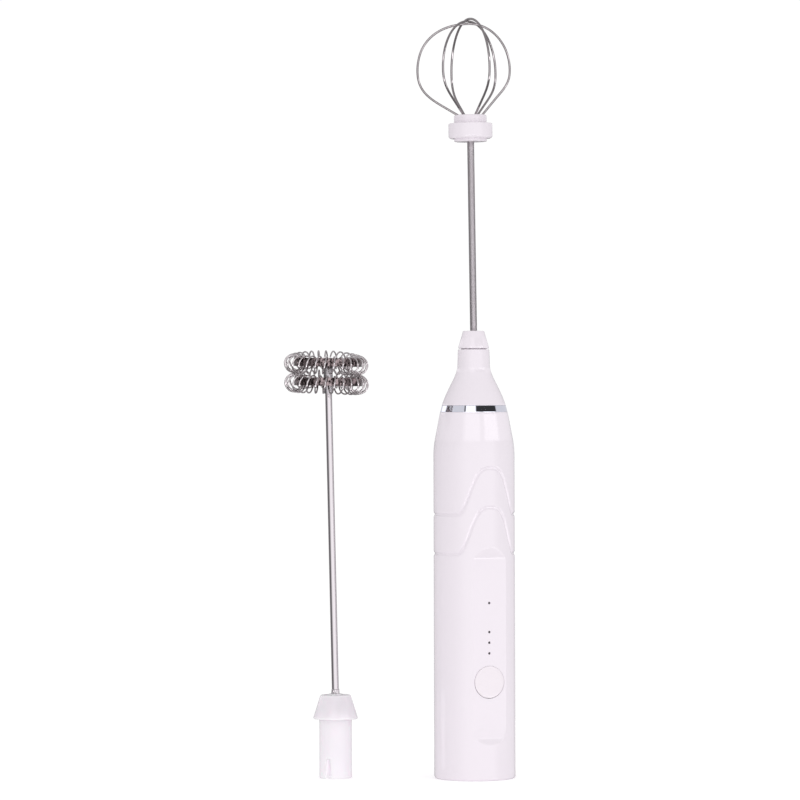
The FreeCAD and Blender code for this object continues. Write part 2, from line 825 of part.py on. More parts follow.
# ---------------------------------------------------------------- drive hub and whisk plugs
def drive_hub():
    stub = cylinder(hub_stub_radius, hub_bottom, hub_bottom + 3.0)
    flange = cylinder(barrel_radius, hub_bottom + 2.6, hub_flange_top)
    spindle_top = barrel_bottom + barrel_bore_depth - spindle_clearance
    spindle = cylinder(hub_spindle_radius, hub_flange_top, spindle_top)
    spindle = soften(spindle, 0.5, level_circle(spindle_top, hub_spindle_radius))
    blade_half = slot_width / 2 - loose_fit
    blade = block(-barrel_radius, barrel_radius, -blade_half, blade_half,
                  hub_flange_top - 0.5, barrel_bottom + slot_height - hub_clearance)
    blade = blade.common(cylinder(barrel_radius - slide_fit, 0, nose_top))
    hub = join([stub, flange, spindle, blade])
    return hub.cut(cylinder(shaft_radius, hub_bottom - 1, barrel_bottom + shaft_engagement))


def plug(bottom, barrel, flange, notch):
    """A slotted barrel under a tapered flange, bored from below for the hub.

    The barrel is (radius, length), the flange is (foot radius, head radius, height, edge radius) and the
    notch is (width at the mouth, width at the top, height).
    """
    radius, length = barrel
    foot_radius, head_radius, height, edge = flange
    mouth, notch_top, rise = notch
    seat = bottom + length
    top = seat + height
    body = turned(outline([
        (0, bottom), (radius - 0.3, bottom), (radius, bottom + 0.5), (radius, seat),
        (foot_radius, seat), (head_radius, top), (0, top),
    ]))
    body = soften(body, edge, level_circle(top, head_radius))
    body = body.cut(cylinder(barrel_bore_radius, bottom - 1, bottom + barrel_bore_depth))
    reach = radius + 1
    spread = (mouth - notch_top) / rise / 2
    corners = [
        (-mouth / 2 - spread, bottom - 1), (mouth / 2 + spread, bottom - 1),
        (notch_top / 2, bottom + rise), (-notch_top / 2, bottom + rise),
    ]
    wire = Part.makePolygon([Vector(-reach, y, z) for y, z in corners + corners[:1]])
    return body.cut(Part.Face(wire).extrude(Vector(2 * reach, 0, 0)))


def rod(plug_bottom, top):
    return cylinder(rod_radius, plug_bottom + barrel_bore_depth + plug_web, top)


def leaning(shape, pivot, degrees):
    """Leans a piece a little to one side, about the point of the axis at height pivot."""
    side = math.radians(lean_azimuth)
    return shape.rotate(Vector(0, 0, pivot), Vector(-math.sin(side), math.cos(side), 0), degrees)


# ---------------------------------------------------------------- balloon whisk
def on_balloon_rod(shape):
    return leaning(shape, balloon_plug_top, balloon_rod_lean)


def balloon_rod():
    return on_balloon_rod(rod(barrel_bottom, balloon_rod_top + rod_in_hub))


def balloon_plug():
    flange = (neck_radius, neck_radius - balloon_flange_taper, balloon_flange_height, balloon_flange_edge)
    notch = (slot_width, slot_width, slot_height)
    body = plug(barrel_bottom, (barrel_radius, barrel_length), flange, notch)
    return body.cut(balloon_rod())


def root_direction(index, side):
    """The way a wire leaves the hub on one side (1 or -1) of its loop, in the loop's own plane."""
    lean = -side * loop_lean_angle if index == 0 else 0.0
    angle = math.radians(wire_root_angle + lean)
    return Vector(side * math.sin(angle), 0, math.cos(angle))


def in_loop_plane(shape, index):
    return shape.rotate(Vector(0, 0, 0), Vector(0, 0, 1), first_loop_azimuth + index * loop_angle)


def wire_hub():
    hub = cylinder(wire_hub_radius, balloon_rod_top, wire_hub_top)
    hub = soften(hub, 0.5, level_circle(wire_hub_top, wire_hub_radius))
    hub = soften(hub, 0.3, level_circle(balloon_rod_top, wire_hub_radius))
    hub = hub.cut(cylinder(rod_radius, balloon_rod_top - 1, balloon_rod_top + rod_in_hub))
    for index in range(3):
        for side in (-1, 1):
            heading = root_direction(index, side)
            start = Vector(side * wire_root_radius, 0, wire_hub_top) - heading * wire_root_depth
            hole = Part.makeCylinder(wire_diameter / 2, wire_root_depth + 2, start, heading)
            hub = hub.cut(in_loop_plane(hole, index))
    return on_balloon_rod(hub)


def hub_collar():
    low = balloon_rod_top + collar_rise
    high = low + collar_height
    collar_radius = collar_diameter / 2
    ring = tube(collar_radius, wire_hub_radius, low, high)
    ring = soften(ring, 0.35, level_circle(high, collar_radius))
    return on_balloon_rod(soften(ring, 0.7, level_circle(low, collar_radius)))


def whisk_loop(index):
    """One wire: a straight root in the hub, up one side, over the crown and down the other side."""
    crown_height = loop_height - (2 - index) * loop_step
    crown = Vector(0, 0, wire_hub_top + crown_height)

    def half_width(side):
        bent = -side * loop_lean if index == 0 else 0.0
        pinched = last_loop_pinch if index == 2 and side > 0 else 0.0
        return loop_half_width + bent - pinched

    def rising_side(side):
        """The edges of one side, from the buried end up to the crown."""
        heading = root_direction(index, side)
        root = Vector(side * wire_root_radius, 0, wire_hub_top)
        start, bend = root - heading * wire_root_depth, root + heading * wire_root_straight
        roundness = bent_roundness if index == 0 and side < 0 else loop_roundness
        widest = Vector(side * half_width(side), 0, wire_hub_top + loop_widest)
        handle = 0.42 * (widest - bend).Length
        flank = Part.BezierCurve()
        flank.setPoles([bend, bend + heading * handle, widest - Vector(0, 0, handle), widest])
        bow = Part.BezierCurve()
        rise = Vector(0, 0, (crown.z - widest.z) * roundness)
        bow.setPoles([widest, widest + rise, crown + Vector(widest.x * roundness, 0, 0), crown])
        return start, heading, [Part.makeLine(start, bend), flank.toShape(), bow.toShape()]

    start, heading, rising = rising_side(-1)
    falling = [edge.reversed() for edge in rising_side(1)[2]]
    section = Part.Wire([Part.makeCircle(wire_diameter / 2, start, heading)])
    wire = Part.Wire(rising + falling[::-1]).makePipeShell([section], True, False)
    return on_balloon_rod(in_loop_plane(wire, index))


# ---------------------------------------------------------------- double spring whisk
def on_spring_rod(shape):
    return leaning(shape, spring_flange_top, spring_rod_lean)


def spring_rod():
    return on_spring_rod(rod(0, head_bottom + head_sleeve_length))


def spring_plug():
    flange = (spring_flange_radius, spring_flange_top_radius, spring_flange_height, spring_flange_edge)
    notch = (spring_notch_mouth, spring_notch_top, spring_notch_height)
    body = plug(0, (spring_barrel_diameter / 2, spring_barrel_length), flange, notch)
    body = body.rotate(Vector(0, 0, 0), Vector(0, 0, 1), spring_slot_azimuth)
    boss_top = spring_flange_top + spring_boss_height
    boss = cylinder(rod_radius + spring_boss_wall, spring_flange_top, boss_top)
    return join([body, boss]).cut(spring_rod())


def head_sleeve():
    return on_spring_rod(tube(sleeve_radius, rod_radius, head_bottom, head_bottom + head_sleeve_length))


def on_head(shape, level, roll, pitch, shift):
    """Tilts a ring piece made at the origin, and sets it round the leaning rod at its level."""
    turn = Rotation(Vector(0, 0, 1), ring_azimuth) * Rotation(Vector(0, 1, 0), roll)
    turn = turn * Rotation(Vector(1, 0, 0), pitch)
    height = head_centre + level
    reach = (height - spring_flange_top) * math.tan(math.radians(spring_rod_lean))
    side = math.radians(lean_azimuth)
    middle = Vector(reach * math.cos(side), reach * math.sin(side), height)
    placed = shape.copy()
    placed.Placement = FreeCAD.Placement(middle + turn.multVec(Vector(-shift, 0, 0)), turn)
    return placed


def ring_frame(level):
    """A rolled band with two spokes to the sleeve, which pass between the turns of the coil."""
    band_outer = coil_major_radius + band_thickness / 2
    band = tube(band_outer, band_outer - band_thickness, -band_height / 2, band_height / 2)
    inner_pitch = 2 * math.pi * (coil_major_radius - coil_minor_radius) / coil_turns
    spoke_half = (inner_pitch - coil_wire_diameter) / 2 - spoke_clearance
    reach, half_height = coil_major_radius, band_height / 2
    spoke = block(-reach, reach, -spoke_half, spoke_half, -half_height, half_height)
    frame = on_head(join([band, spoke]), level, band_roll, 0, 0)
    bore = cylinder(sleeve_radius, spring_flange_top, head_centre + 2 * coil_spacing)
    return frame.cut(on_spring_rod(bore))


def ring_coil(level):
    """A long spring closed into a ring round the band, as one wire with its ends side by side."""
    def at(turn):
        wind = coil_turns * turn
        reach = coil_major_radius + coil_minor_radius * math.cos(wind)
        height = coil_minor_radius * math.sin(wind) - coil_saddle * math.cos(2 * turn)
        return Vector(reach * math.cos(turn), reach * math.sin(turn), height)

    points_per_turn = 8
    steps = points_per_turn * coil_turns
    gap = math.radians(coil_end_gap)
    first = math.pi / 2 + gap / 2
    points = [at(first + (2 * math.pi - gap) * i / steps) for i in range(steps + 1)]
    curve = Part.BSplineCurve()
    curve.interpolate(points)
    heading = curve.tangent(curve.FirstParameter)[0]
    section = Part.Wire([Part.makeCircle(coil_wire_radius, points[0], heading)])
    coil = Part.Wire([curve.toShape()]).makePipeShell([section], True, True)
    return on_head(coil, level - coil_drop, coil_roll, coil_pitch, coil_shift)


def beside(shape):
    """Moves a piece of the spring whisk from the axis to where that whisk stands."""
    return shape.translate(Vector(spring_place_x, spring_place_y, 0))


# ---------------------------------------------------------------- all the pieces
def pieces():
    half_gap = coil_spacing / 2
    named = {
        "body_shell": body_shell(),
        "base_cap": base_cap(),
        "charge_socket_shell": charge_socket_shell(),
        "charge_socket_tongue": charge_socket_tongue(),
        "button_cap": button_cap(),
        "switch_body": switch_body(),
        "switch_plunger": switch_plunger(),
        "speed_lens_strip": lens_strip(speed_lamp_heights),
        "charge_lens": lens_strip((charge_lamp_height,)),
        "circuit_board": circuit_board(),
        "board_screws": board_screws(),
        "indicator_leds": indicator_leds(),
        "control_chips": control_chips(),
        "inner_carrier": inner_carrier(),
        "battery_cell": battery_cell(),
        "cell_tabs": cell_tabs(),
        "cell_cushion": cell_cushion(),
        "motor_can": motor_can(),
        "motor_end_cap": motor_end_cap(),
        "motor_front_bush": motor_front_bush(),
        "motor_rear_bush": motor_rear_bush(),
        "motor_terminals": motor_terminals(),
        "motor_magnets": motor_magnets(),
        "motor_shaft": motor_shaft(),
        "armature_core": armature_core(),
        "armature_windings": armature_windings(),
        "commutator": commutator(),
        "motor_screws": motor_screws(),
        "motor_leads": motor_leads(),
        "chrome_ring": chrome_ring(),
        "nose_cone": nose_cone(),
        "shaft_seal": shaft_seal(),
        "drive_hub": drive_hub(),
        "balloon_plug": balloon_plug(),
        "balloon_rod": balloon_rod(),
        "wire_hub": wire_hub(),
        "hub_collar": hub_collar(),
        "spring_plug": beside(spring_plug()),
        "spring_rod": beside(spring_rod()),
        "head_sleeve": beside(head_sleeve()),
        "upper_ring_frame": beside(ring_frame(half_gap)),
        "lower_ring_frame": beside(ring_frame(-half_gap)),
        "upper_coil": beside(ring_coil(half_gap)),
        "lower_coil": beside(ring_coil(-half_gap)),
    }
    for index in range(3):
        named[f"whisk_loop_{index + 1}"] = whisk_loop(index)
    return named


def export(name, shape):
    for solid in shape.Solids:
        if not solid.isValid() or solid.Volume <= 0:
            raise ValueError(f"{name} has a solid that is open or empty")
    shape.exportStep(f"parts/{name}.step")
    print(f"{name}: {len(shape.Solids)} solid(s), {shape.Volume:.1f} mm3")


os.makedirs("parts", exist_ok=True)
for piece_name, piece_shape in pieces().items():
    export(piece_name, piece_shape)
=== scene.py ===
import math

import bmesh
import bpy
from mathutils import Matrix, Vector


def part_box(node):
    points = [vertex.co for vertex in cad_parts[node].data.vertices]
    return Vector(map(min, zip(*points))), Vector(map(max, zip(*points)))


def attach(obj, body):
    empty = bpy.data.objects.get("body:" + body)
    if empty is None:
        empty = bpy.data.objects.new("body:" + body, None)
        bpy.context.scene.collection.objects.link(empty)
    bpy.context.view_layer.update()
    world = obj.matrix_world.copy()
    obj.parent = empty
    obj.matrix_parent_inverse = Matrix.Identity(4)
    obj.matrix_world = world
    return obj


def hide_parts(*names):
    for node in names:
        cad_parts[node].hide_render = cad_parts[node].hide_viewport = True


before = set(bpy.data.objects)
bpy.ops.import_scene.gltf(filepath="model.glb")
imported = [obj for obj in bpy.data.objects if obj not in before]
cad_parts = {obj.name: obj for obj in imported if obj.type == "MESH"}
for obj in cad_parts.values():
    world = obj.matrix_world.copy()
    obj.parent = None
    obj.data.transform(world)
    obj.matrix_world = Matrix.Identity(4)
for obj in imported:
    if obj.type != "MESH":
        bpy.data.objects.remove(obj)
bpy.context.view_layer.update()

mm = 0.001


# ---------------------------------------------------------------- handle shell
# One injection-moulded tube of white ABS, polished in the mould. Its waist carries two wave grooves, its front a
# flat control panel with a sloping run-out at each end, and its rim is drawn in to take the chrome ring.
shell_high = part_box("body_shell")[1]
shell_radius, shell_height = shell_high.x, shell_high.z
shell_wall = 1.8 * mm
shell_inside = shell_radius - shell_wall
rim_radius = shell_radius - 2.3 * mm
shoulder_bend, shoulder_slope = 30 * mm, math.radians(10.8)
shoulder_top = shell_radius - shoulder_bend * (1 - math.cos(shoulder_slope))
bend_end = shell_height - (shoulder_top - rim_radius) / math.tan(shoulder_slope)
bend_start = bend_end - shoulder_bend * math.sin(shoulder_slope)
foot_edge, rim_edge = 0.8 * mm, 0.12 * mm
groove_depth, groove_half = 0.42 * mm, 0.9 * mm
groove_lip = 1.5 * groove_half
groove_low, groove_high = 77.65 * mm, 91.15 * mm
wave_height, wave_half_angle = 16.1 * mm, math.radians(52.5)
wave_crown, wave_foot = 3.0, 3.6
panel_depth = 1.48 * mm
panel_face = shell_radius - panel_depth
panel_back = panel_face - 1.6 * mm
panel_low, panel_high = 14.15 * mm, 76.1 * mm
panel_fade, panel_fade_top = 0.53 * mm, 17.3 * mm
runout_low, runout_high = 1.85 * mm, 4.0 * mm
panel_crease = 0.7 * mm
pad_low, pad_high = panel_low - 3.7 * mm, panel_high + 5.7 * mm
button_low, button_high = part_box("button_cap")
button_flange = 0.7 * mm
button_radius = (button_high.x - button_low.x) / 2 - button_flange
button_z = (button_low.z + button_high.z) / 2
button_gap, button_gap_left, button_gap_down = 0.1 * mm, 0.04 * mm, 0.06 * mm
lamp_radius, lamp_heights = 0.45 * mm, (43.7 * mm, 47.35 * mm, 51.0 * mm, 60.95 * mm)


def softened(corners):
    """Turns (radius, height, edge radius) corners into (radius, height) points, with each edge as a short arc."""
    points = []
    for i, (r, z, edge) in enumerate(corners):
        here = Vector((r, z))
        before = Vector(corners[i - 1][:2]) - here
        after = Vector(corners[(i + 1) % len(corners)][:2]) - here
        if edge <= 0 or before.length < 1e-9 or after.length < 1e-9:
            points.append((r, z))
            continue
        angle = before.angle(after)
        reach = min(edge / math.tan(angle / 2), 0.49 * before.length, 0.49 * after.length)
        radius = reach * math.tan(angle / 2)
        middle = here + (before.normalized() + after.normalized()).normalized() * (radius / math.sin(angle / 2))
        start, end = here + before.normalized() * reach, here + after.normalized() * reach
        steps = 4
        for step in range(steps + 1):
            spoke = (start - middle).lerp(end - middle, step / steps).normalized() * radius
            points.append(tuple(middle + spoke))
    return points


def turned(points, steps=192, closed=True):
    """Spins an outline of (radius, height) points round the upright axis into a closed skin."""
    bm = bmesh.new()
    chain = [bm.verts.new((r, 0, z)) for r, z in points]
    pairs = zip(chain, chain[1:] + chain[:1]) if closed else zip(chain, chain[1:])
    for a, b in pairs:
        bm.edges.new((a, b))
    bmesh.ops.spin(bm, geom=bm.verts[:] + bm.edges[:], cent=(0, 0, 0), axis=(0, 0, 1),
                   angle=2 * math.pi, steps=steps, use_merge=True, use_duplicate=False)
    bmesh.ops.remove_doubles(bm, verts=bm.verts, dist=1e-7)
    bmesh.ops.recalc_face_normals(bm, faces=bm.faces)
    return bm


def placed(bm, matrix):
    """Moves a bmesh by a matrix, and gives it back."""
    bmesh.ops.transform(bm, matrix=matrix, verts=bm.verts)
    return bm


def mesh_of(name, bm):
    """Turns a bmesh into a mesh."""
    mesh = bpy.data.meshes.new(name)
    bm.to_mesh(mesh)
    bm.free()
    return mesh


def in_scene(name, data):
    """A new object with this data, in the scene."""
    made = bpy.data.objects.new(name, data)
    bpy.context.scene.collection.objects.link(made)
    return made


def piece(name, bm, material, body, nodes=(), crease=32):
    """Makes a bmesh a finished object: shaded smooth up to its creases, painted, and riding on its body."""
    mesh = mesh_of(name, bm)
    mesh.materials.append(material)
    for polygon in mesh.polygons:
        polygon.use_smooth = True
    mesh.set_sharp_from_angle(angle=math.radians(crease))
    made = in_scene(name, mesh)
    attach(made, body)
    if nodes:
        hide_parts(*nodes)
    return made


def cut_away(bm, cutters):
    """Cuts closed bmeshes out of a closed bmesh, exactly, and gives back the result."""
    stock = in_scene("stock", mesh_of("stock", bm))
    tools = [in_scene("tool", mesh_of("tool", cutter)) for cutter in cutters]
    for tool in tools:
        step = stock.modifiers.new("cut", "BOOLEAN")
        step.operation, step.solver, step.object = "DIFFERENCE", "EXACT", tool
    bpy.context.view_layer.update()
    ready = stock.evaluated_get(bpy.context.evaluated_depsgraph_get()).to_mesh()
    result = bmesh.new()
    result.from_mesh(ready)
    for used in [stock] + tools:
        bpy.data.objects.remove(used)
    return result


def round_bar(radius, length, matrix, segments=48):
    """A closed round bar, centred on the origin along Z and then placed by the matrix."""
    bm = bmesh.new()
    bmesh.ops.create_cone(bm, cap_ends=True, segments=segments, radius1=radius, radius2=radius, depth=length)
    return placed(bm, matrix)


def facing_front(x, y, z):
    """Places a bar that lies along Z so that it points out of the panel instead."""
    return Matrix.Translation((x, y, z)) @ Matrix.Rotation(math.pi / 2, 4, "X")


def wave(angle):
    share = min(abs(angle) / wave_half_angle, 1.0)
    return wave_height * (1 - share ** wave_crown) ** wave_foot


def wave_slope(angle):
    step = 0.01
    return (wave(angle + step) - wave(angle - step)) / (2 * step * shell_radius)


def handle_outline():
    """The shell's outline, with close rows where the grooves go and a few rows elsewhere."""
    rows = [t * groove_half for t in (-1.5, -1, -0.85, -0.7, -0.55, -0.4, -0.2, 0, 0.2, 0.4, 0.55, 0.7, 0.85, 1, 1.5)]
    levels = [foot_edge + (panel_low - foot_edge) * t for t in (0.3, 0.7, 1)]
    levels += [panel_low + (groove_low - panel_low) * t for t in (0.2, 0.4, 0.6, 0.75, 0.85, 0.92, 0.97)]
    levels += [groove_low + row for row in rows]
    levels += [groove_low + (groove_high - groove_low) * t for t in (0.15, 0.3, 0.5, 0.7, 0.85)]
    levels += [groove_high + row for row in rows]
    levels += [groove_high + (bend_start - groove_high) * t for t in (0.12, 0.25, 0.4, 0.6, 0.8)]
    points = [(shell_radius, z) for z in levels]
    for step in range(13):
        turn = shoulder_slope * step / 12
        drawn_in = shoulder_bend * (1 - math.cos(turn))
        points.append((shell_radius - drawn_in, bend_start + shoulder_bend * math.sin(turn)))
    points += [(shoulder_top + (rim_radius - shoulder_top) * t, bend_end + (shell_height - bend_end) * t)
               for t in (0.3, 0.6, 0.9)]
    top = softened([points[-1] + (0,), (rim_radius, shell_height, rim_edge),
                    (rim_radius - shell_wall, shell_height, rim_edge), (shell_inside, bend_start, 0)])
    pad_rows = (pad_high + 0.1 * mm, pad_high, (pad_high + pad_low) / 2, pad_low, pad_low - 0.1 * mm)
    inside = [(shell_inside, z) for z in pad_rows]
    foot = softened([(shell_inside, pad_rows[-1], 0), (shell_inside, 0, rim_edge),
                     (shell_radius, 0, foot_edge), points[0] + (0,)])
    return points[:-1] + top[:-1] + inside + foot[1:-1]


def handle_shell():
    bm = turned(handle_outline(), steps=288)
    half_way = (groove_high - groove_low) / 2
    low_end, high_end = groove_low - groove_lip, groove_high + groove_lip
    for v in bm.verts:
        reach, level = math.hypot(v.co.x, v.co.y), v.co.z
        if reach < shell_radius - 0.01 * mm or level < panel_low or level > bend_start:
            continue
        angle = math.atan2(v.co.x, -v.co.y)
        off = level - min(groove_low, groove_high, key=lambda groove: abs(groove - level))
        steep = math.sqrt(1 + wave_slope(angle) ** 2) - 1
        if abs(off) <= groove_lip + 1e-9:
            spread = off * steep
        else:
            away = (abs(off) - groove_lip) / (half_way - groove_lip)
            spread = math.copysign(groove_lip * steep, off) * max(0, 1 - away)
        carried = 1.0
        if level < low_end:
            carried = (level - panel_low) / (low_end - panel_low)
        elif level > high_end:
            carried = (bend_start - level) / (bend_start - high_end)
        sunk = groove_depth * (1 + math.cos(math.pi * min(abs(off) / groove_half, 1))) / 2
        v.co.z = level + wave(angle) * carried + spread * carried
        v.co.x *= 1 - sunk / shell_radius
        v.co.y *= 1 - sunk / shell_radius

    def face_at(z):
        """Distance of the panel from the axis, which grows where the panel fades and runs out."""
        if z > panel_high:
            return panel_face + (z - panel_high) * panel_depth / runout_high
        if z < panel_low:
            return panel_face + panel_fade + (panel_low - z) * (panel_depth - panel_fade) / runout_low
        if z < panel_fade_top:
            return panel_face + (panel_fade_top - z) * panel_fade / (panel_fade_top - panel_low)
        return panel_face

    def eased(z):
        """The same, with each crease rounded."""
        return sum(face_at(z + panel_crease * t) for t in (-0.8, -0.4, 0, 0.4, 0.8)) / 5

    creases = (panel_low, panel_fade_top, panel_high)
    levels = [crease + panel_crease * t for crease in creases for t in (-1.2, -0.8, -0.4, 0, 0.4, 0.8, 1.2)]
    levels += [panel_high + runout_high * t / 12 for t in range(2, 15)]
    levels += [panel_low - runout_low * t / 6 for t in range(2, 8)]
    leans = [
        ((0, -panel_face, 0), Vector((0, 1, 0))),
        ((0, -panel_face, panel_high), Vector((0, -runout_high, panel_depth))),
        ((0, -panel_face, panel_fade_top), Vector((0, panel_low - panel_fade_top, -panel_fade))),
        ((0, -panel_face - panel_fade, panel_low), Vector((0, -runout_low, panel_fade - panel_depth))),
    ]
    planes = leans + [((0, 0, level), Vector((0, 0, 1))) for level in levels]
    for place, normal in planes:
        front = []
        for f in bm.faces:
            middle = f.calc_center_median()
            if (middle.y < -0.6 * shell_radius and math.hypot(*middle.xy) > panel_face
                    and panel_low - 2 * runout_low < middle.z < panel_high + 2 * runout_high):
                front.append(f)
        around = list({v for f in front for v in f.verts}) + list({e for f in front for e in f.edges}) + front
        bmesh.ops.bisect_plane(bm, geom=around, dist=1e-8, plane_co=place, plane_no=normal.normalized())

    for v in bm.verts:
        outside = math.hypot(v.co.x, v.co.y) > panel_face
        if outside and -v.co.y > eased(v.co.z):
            v.co.y = -eased(v.co.z)
        elif not outside and -v.co.y > panel_back and pad_low - 1e-6 < v.co.z < pad_high + 1e-6:
            v.co.y = -panel_back
    bmesh.ops.remove_doubles(bm, verts=bm.verts, dist=1e-6)

    button_hole = facing_front(-button_gap_left, -panel_face, button_z - button_gap_down)
    holes = [round_bar(button_radius + button_gap, 8 * mm, button_hole, 128)]
    for height in lamp_heights:
        holes.append(round_bar(lamp_radius, 8 * mm, facing_front(0, -panel_face, height), 32))
    return cut_away(bm, holes)


def effect_group(name, inputs, outputs):
    """An empty shader node group with its sockets, and the sockets inside it that start and end its nodes."""
    group = bpy.data.node_groups.new(name, "ShaderNodeTree")
    for label, default in inputs:
        socket = group.interface.new_socket(name=label, in_out="INPUT", socket_type="NodeSocketFloat")
        socket.default_value = default
    for label, kind in outputs:
        group.interface.new_socket(name=label, in_out="OUTPUT", socket_type=kind)
    return group, group.nodes.new("NodeGroupInput").outputs, group.nodes.new("NodeGroupOutput")


def feed(tree, node, sockets):
    """Gives each of these sockets of a node a value, or another node's output."""
    for socket, value in sockets.items():
        if isinstance(value, bpy.types.NodeSocket):
            tree.links.new(value, node.inputs[socket])
        else:
            node.inputs[socket].default_value = value


def fed(tree, kind, output, sockets=None, **settings):
    """Adds a shader node with its settings and its sockets fed, and gives back one of its outputs."""
    node = tree.nodes.new("ShaderNode" + kind)
    for setting, value in settings.items():
        setattr(node, setting, value)
    feed(tree, node, sockets or {})
    return node.outputs[output]


def tones(tree, share, first, second):
    """A colour between two, by share."""
    return fed(tree, "Mix", "Result", {"Factor": share, "A": first + (1,), "B": second + (1,)}, data_type="RGBA")


def ranged(tree, value, low, high, start=0.0, end=1.0):
    """A value from low to high, as the one given goes from start to end."""
    return fed(tree, "MapRange", "Result", {
        "Value": value, "From Min": start, "From Max": end, "To Min": low, "To Max": high})


def blank_material(name):
    """A new material, with its node tree and its Principled shader."""
    made = bpy.data.materials.new(name)
    made.use_nodes = True
    return made, made.node_tree, made.node_tree.nodes["Principled BSDF"]


def moulded_skin():
    """The fine unevenness of polished moulded plastic: slow flow marks, a faint orange peel and handling scuffs."""
    group, given, out = effect_group(
        "moulded_skin",
        [("Flow Size", 40.0), ("Peel Size", 900.0), ("Peel Depth", 0.1), ("Scuffs", 0.3)],
        [("Flow", "NodeSocketFloat"), ("Scuff", "NodeSocketFloat"), ("Normal", "NodeSocketVector")],
    )
    place = fed(group, "TexCoord", "Object")
    flow = fed(group, "TexNoise", "Fac", {"Vector": place, "Scale": given["Flow Size"], "Detail": 3})
    scuff = fed(group, "TexNoise", "Fac", {"Vector": place, "Scale": 260, "Detail": 8, "Roughness": 0.72})
    worn = fed(group, "Math", "Value", {0: ranged(group, scuff, 0, 1, 0.52, 0.78), 1: given["Scuffs"]},
               operation="MULTIPLY")
    peel = fed(group, "TexNoise", "Fac", {"Vector": place, "Scale": given["Peel Size"], "Detail": 2})
    bump = fed(group, "Bump", "Normal", {"Distance": 0.02 * mm, "Height": peel, "Strength": given["Peel Depth"]})
    feed(group, out, {"Flow": flow, "Scuff": worn, "Normal": bump})
    return group


skin_group = moulded_skin()


def plastic(name, light, deep, gloss, dull, peel_size=900, peel_depth=0.1, scuffs=0.3, glow=0.0, glow_reach=1.2):
    """Moulded plastic between two close tones, from its glossiest to its dullest roughness."""
    made, tree, shader = blank_material(name)
    skin = fed(tree, "Group", "Flow", {"Peel Size": peel_size, "Peel Depth": peel_depth, "Scuffs": scuffs},
               node_tree=skin_group)
    feed(tree, shader, {
        "IOR": 1.53, "Subsurface Weight": glow, "Subsurface Radius": (1.0, 0.9, 0.95),
        "Subsurface Scale": glow_reach * mm, "Base Color": tones(tree, skin, light, deep),
        "Roughness": ranged(tree, skin.node.outputs["Scuff"], gloss, dull), "Normal": skin.node.outputs["Normal"]})
    return made


white_abs = plastic("white_abs", (0.875, 0.815, 0.875), (0.86, 0.80, 0.86), 0.08, 0.18)
piece("handle_shell", handle_shell(), white_abs, "handle", ["body_shell"], crease=17)


# ---------------------------------------------------------------- base cap and charging socket
# A white disc with a skirt snaps into the foot of the shell. A flared stadium opening leads to the socket, whose
# drawn steel shell and black tongue sit just inside it.
cap_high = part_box("base_cap")[1]
cap_radius = shell_radius - shell_wall - 0.1 * mm
socket_low, socket_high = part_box("charge_socket_shell")
socket_y = (socket_low.y + socket_high.y) / 2
socket_width, socket_thickness = socket_high.x - socket_low.x, socket_high.y - socket_low.y


def stadium(width, thickness, low, high, y, flare=0.0):
    """A closed upright bar with a stadium section. Its lower end may be wider by flare on every side."""
    bm = bmesh.new()
    bmesh.ops.create_circle(bm, cap_ends=True, segments=64, radius=thickness / 2)
    for v in bm.verts:
        v.co.x += math.copysign((width - thickness) / 2, v.co.x)
    top = bmesh.ops.extrude_face_region(bm, geom=bm.faces[:])
    risen = [v for v in top["geom"] if isinstance(v, bmesh.types.BMVert)]
    bmesh.ops.translate(bm, vec=(0, 0, high - low), verts=risen)
    if flare:
        for v in set(bm.verts) - set(risen):
            v.co.x += math.copysign(flare, v.co.x) * (1 if abs(v.co.x) > 1e-9 else 0)
            v.co.y *= (thickness / 2 + flare) / (thickness / 2)
    bmesh.ops.translate(bm, vec=(0, y, low), verts=bm.verts)
    bmesh.ops.recalc_face_normals(bm, faces=bm.faces)
    return bm


base_disc = turned(softened([
    (0, 0, 0), (cap_radius, 0, 0.3 * mm), (cap_radius, cap_high.z, 0.1 * mm),
    (cap_radius - 1.2 * mm, cap_high.z, 0.1 * mm), (cap_radius - 1.2 * mm, 2 * mm, 0.3 * mm), (0, 2 * mm, 0)]),
    closed=False)
mouth = (socket_width + 0.3 * mm, socket_thickness + 0.3 * mm)
board_gap_width, board_gap_depth, board_gap_height = 10.3 * mm, 1.15 * mm, 10 * mm
board_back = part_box("circuit_board")[1].y
board_gap = bmesh.new()
bmesh.ops.create_cube(board_gap, size=1)
bmesh.ops.scale(board_gap, vec=(board_gap_width, board_gap_depth, board_gap_height), verts=board_gap.verts)
bmesh.ops.translate(board_gap, vec=(0, board_back - board_gap_depth / 2, 6.6 * mm), verts=board_gap.verts)
base_disc = cut_away(base_disc, [
    stadium(*mouth, -mm, cap_high.z, socket_y), stadium(*mouth, -0.2 * mm, 0.9 * mm, socket_y, 0.9 * mm)])
piece("base_disc", cut_away(base_disc, [board_gap]), white_abs, "handle", ["base_cap"])


